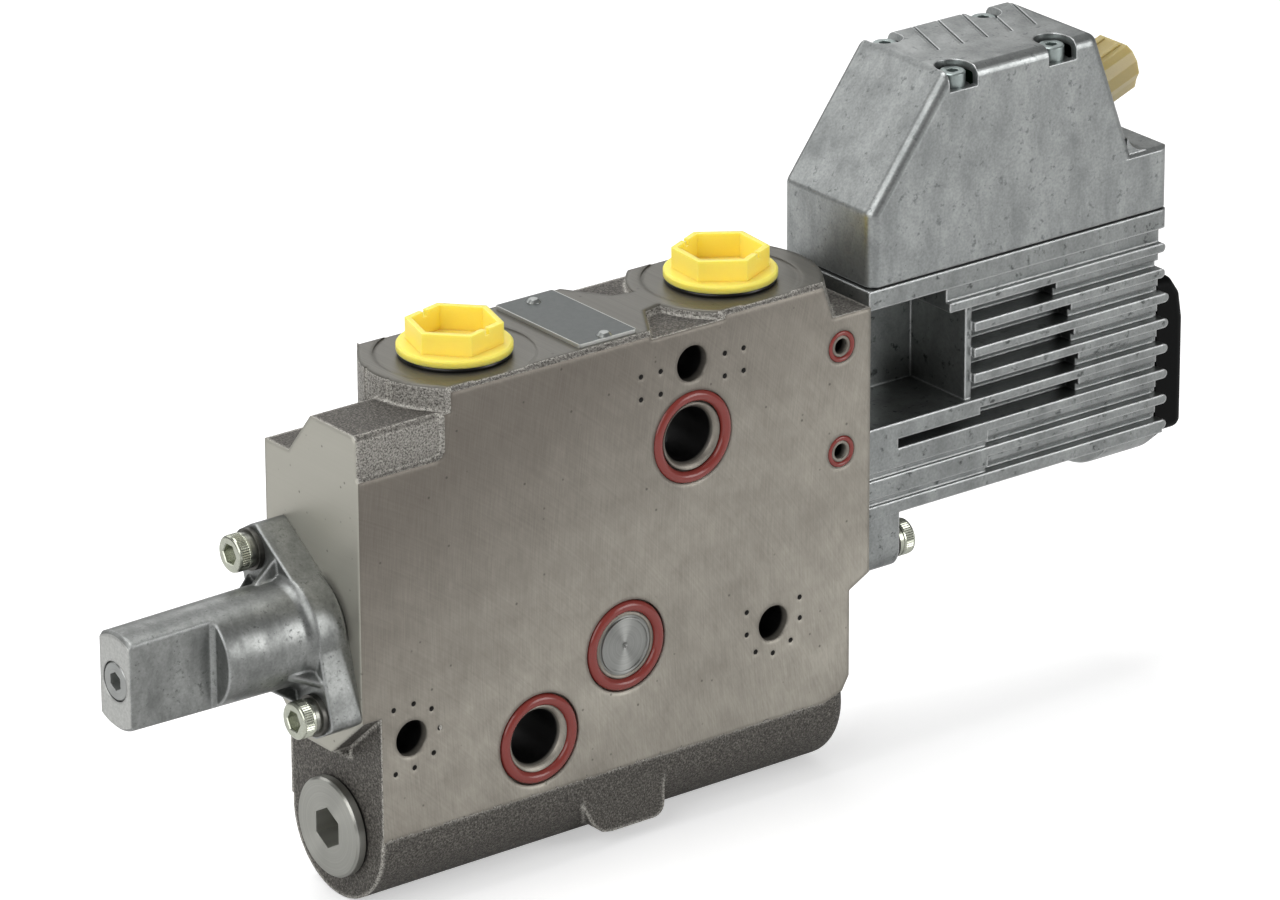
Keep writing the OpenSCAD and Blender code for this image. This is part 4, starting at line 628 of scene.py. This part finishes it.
# Transport plugs: polyethylene, injection moulded and screwed into the two work ports.
# The plastic lets light some way in, so it looks soft and warm where it is thin.
def moulded(name, colour, roughness, grain=0.5, grain_share=0.1, scatter=0.0, gloss=0.5):
    grain_h = 0.05
    edge = 0.3
    material, tree, place = begin(name)
    cloud = add(tree, "ShaderNodeTexNoise", {"Scale": 1 / (grain * mm), "Detail": 2}, {"Vector": place})
    tint = add(tree, "ShaderNodeMix", {"Factor": 0.06, "A": linear(colour)}, {"B": cloud},
               data_type="RGBA", blend_type="OVERLAY").outputs["Result"]
    soft = add(tree, "ShaderNodeBevel", {"Radius": edge * mm}, samples=6)
    skin = add(tree, "ShaderNodeBump", {"Strength": grain_share, "Distance": grain_h * mm},
               {"Height": cloud, "Normal": soft})
    shader = add(tree, "ShaderNodeBsdfPrincipled", {"Roughness": roughness, "Subsurface Weight": scatter,
                 "Subsurface Radius": (4 * mm, 3.4 * mm, 1.8 * mm), "Subsurface Scale": 1.0,
                 "Specular IOR Level": gloss}, {"Base Color": tint, "Normal": skin})
    add(tree, "ShaderNodeOutputMaterial", links={"Surface": shader})
    return material


finish(moulded("yellow polyethylene", "#f8dc69", 0.42, scatter=1.0, gloss=0.2),
       "port_plug_a", "port_plug_b")


# Seals and gaskets: nitrile rubber, moulded to shape. The rings of the sandwich face are red brown
# and lie glossy in their grooves. The others are black.
finish(moulded("red brown nitrile rubber", "#83352f", 0.2), "pump_port_seal", "tank_port_seal",
       "neutral_port_seal", "pilot_port_seals")
finish(moulded("black nitrile rubber", "#0d0d0d", 0.30), "port_plug_ring_a", "port_plug_ring_b",
       "end_cap_seal", "pilot_face_seal", "compensator_plug_seal", "cover_gasket", "rear_cap_gasket")


# Rear cap, connector and electronics: glass filled black nylon with a coarse dull skin, amber nylon
# that lets some light in, a green laminate board, coils of enamelled wire and brass pins.
finish(moulded("black glass filled nylon", "#060707", 0.5, grain=0.8, grain_share=0.2, gloss=0.08),
       "rear_cap", "board_components")
finish(moulded("amber nylon", "#ae9e69", 0.33, scatter=0.6), "connector_shell")
finish(moulded("printed circuit laminate", "#1f5b34", 0.4), "circuit_board")
finish(moulded("enamelled copper winding", "#7a3a1c", 0.35), "solenoid_coil", "sensor_coil")
finish(steel("bright brass", "#d8bd6c", 0.25), "connector_pins")


# Type plate: aluminium sheet with a plain dark printed face, riveted to the top.
# The print is scuffed, and the cut edges stay bright.
def printed_sheet():
    low, high = [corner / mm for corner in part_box("type_plate")]
    scuff = 1.43
    edge = 0.3
    material, tree, place = begin("printed aluminium sheet")
    face = box_share(tree, place, (low.x + 0.3, low.y + 0.2, high.z - 0.1),
                     (high.x - 0.3, high.y - 0.2, high.z + 0.2))
    wear = add(tree, "ShaderNodeTexNoise", {"Scale": 1 / (scuff * mm), "Detail": 4, "Roughness": 0.7},
               {"Vector": place})
    ink = add(tree, "ShaderNodeMix", {"Factor": 0.2, "A": linear("#5b5f5e")}, {"B": wear},
              data_type="RGBA", blend_type="OVERLAY").outputs["Result"]
    tone = add(tree, "ShaderNodeMix", {"A": linear("#b9bab6")}, {"Factor": face, "B": ink},
               data_type="RGBA").outputs["Result"]
    rough = add(tree, "ShaderNodeMapRange", {"From Min": 0.3, "From Max": 0.7, "To Min": 0.36,
                "To Max": 0.5}, {"Value": wear})
    soft = add(tree, "ShaderNodeBevel", {"Radius": edge * mm}, samples=6)
    shader = add(tree, "ShaderNodeBsdfPrincipled", {"Metallic": 0.7},
                 {"Base Color": tone, "Roughness": rough, "Normal": soft})
    add(tree, "ShaderNodeOutputMaterial", links={"Surface": shader})
    return material


finish(printed_sheet(), "type_plate")
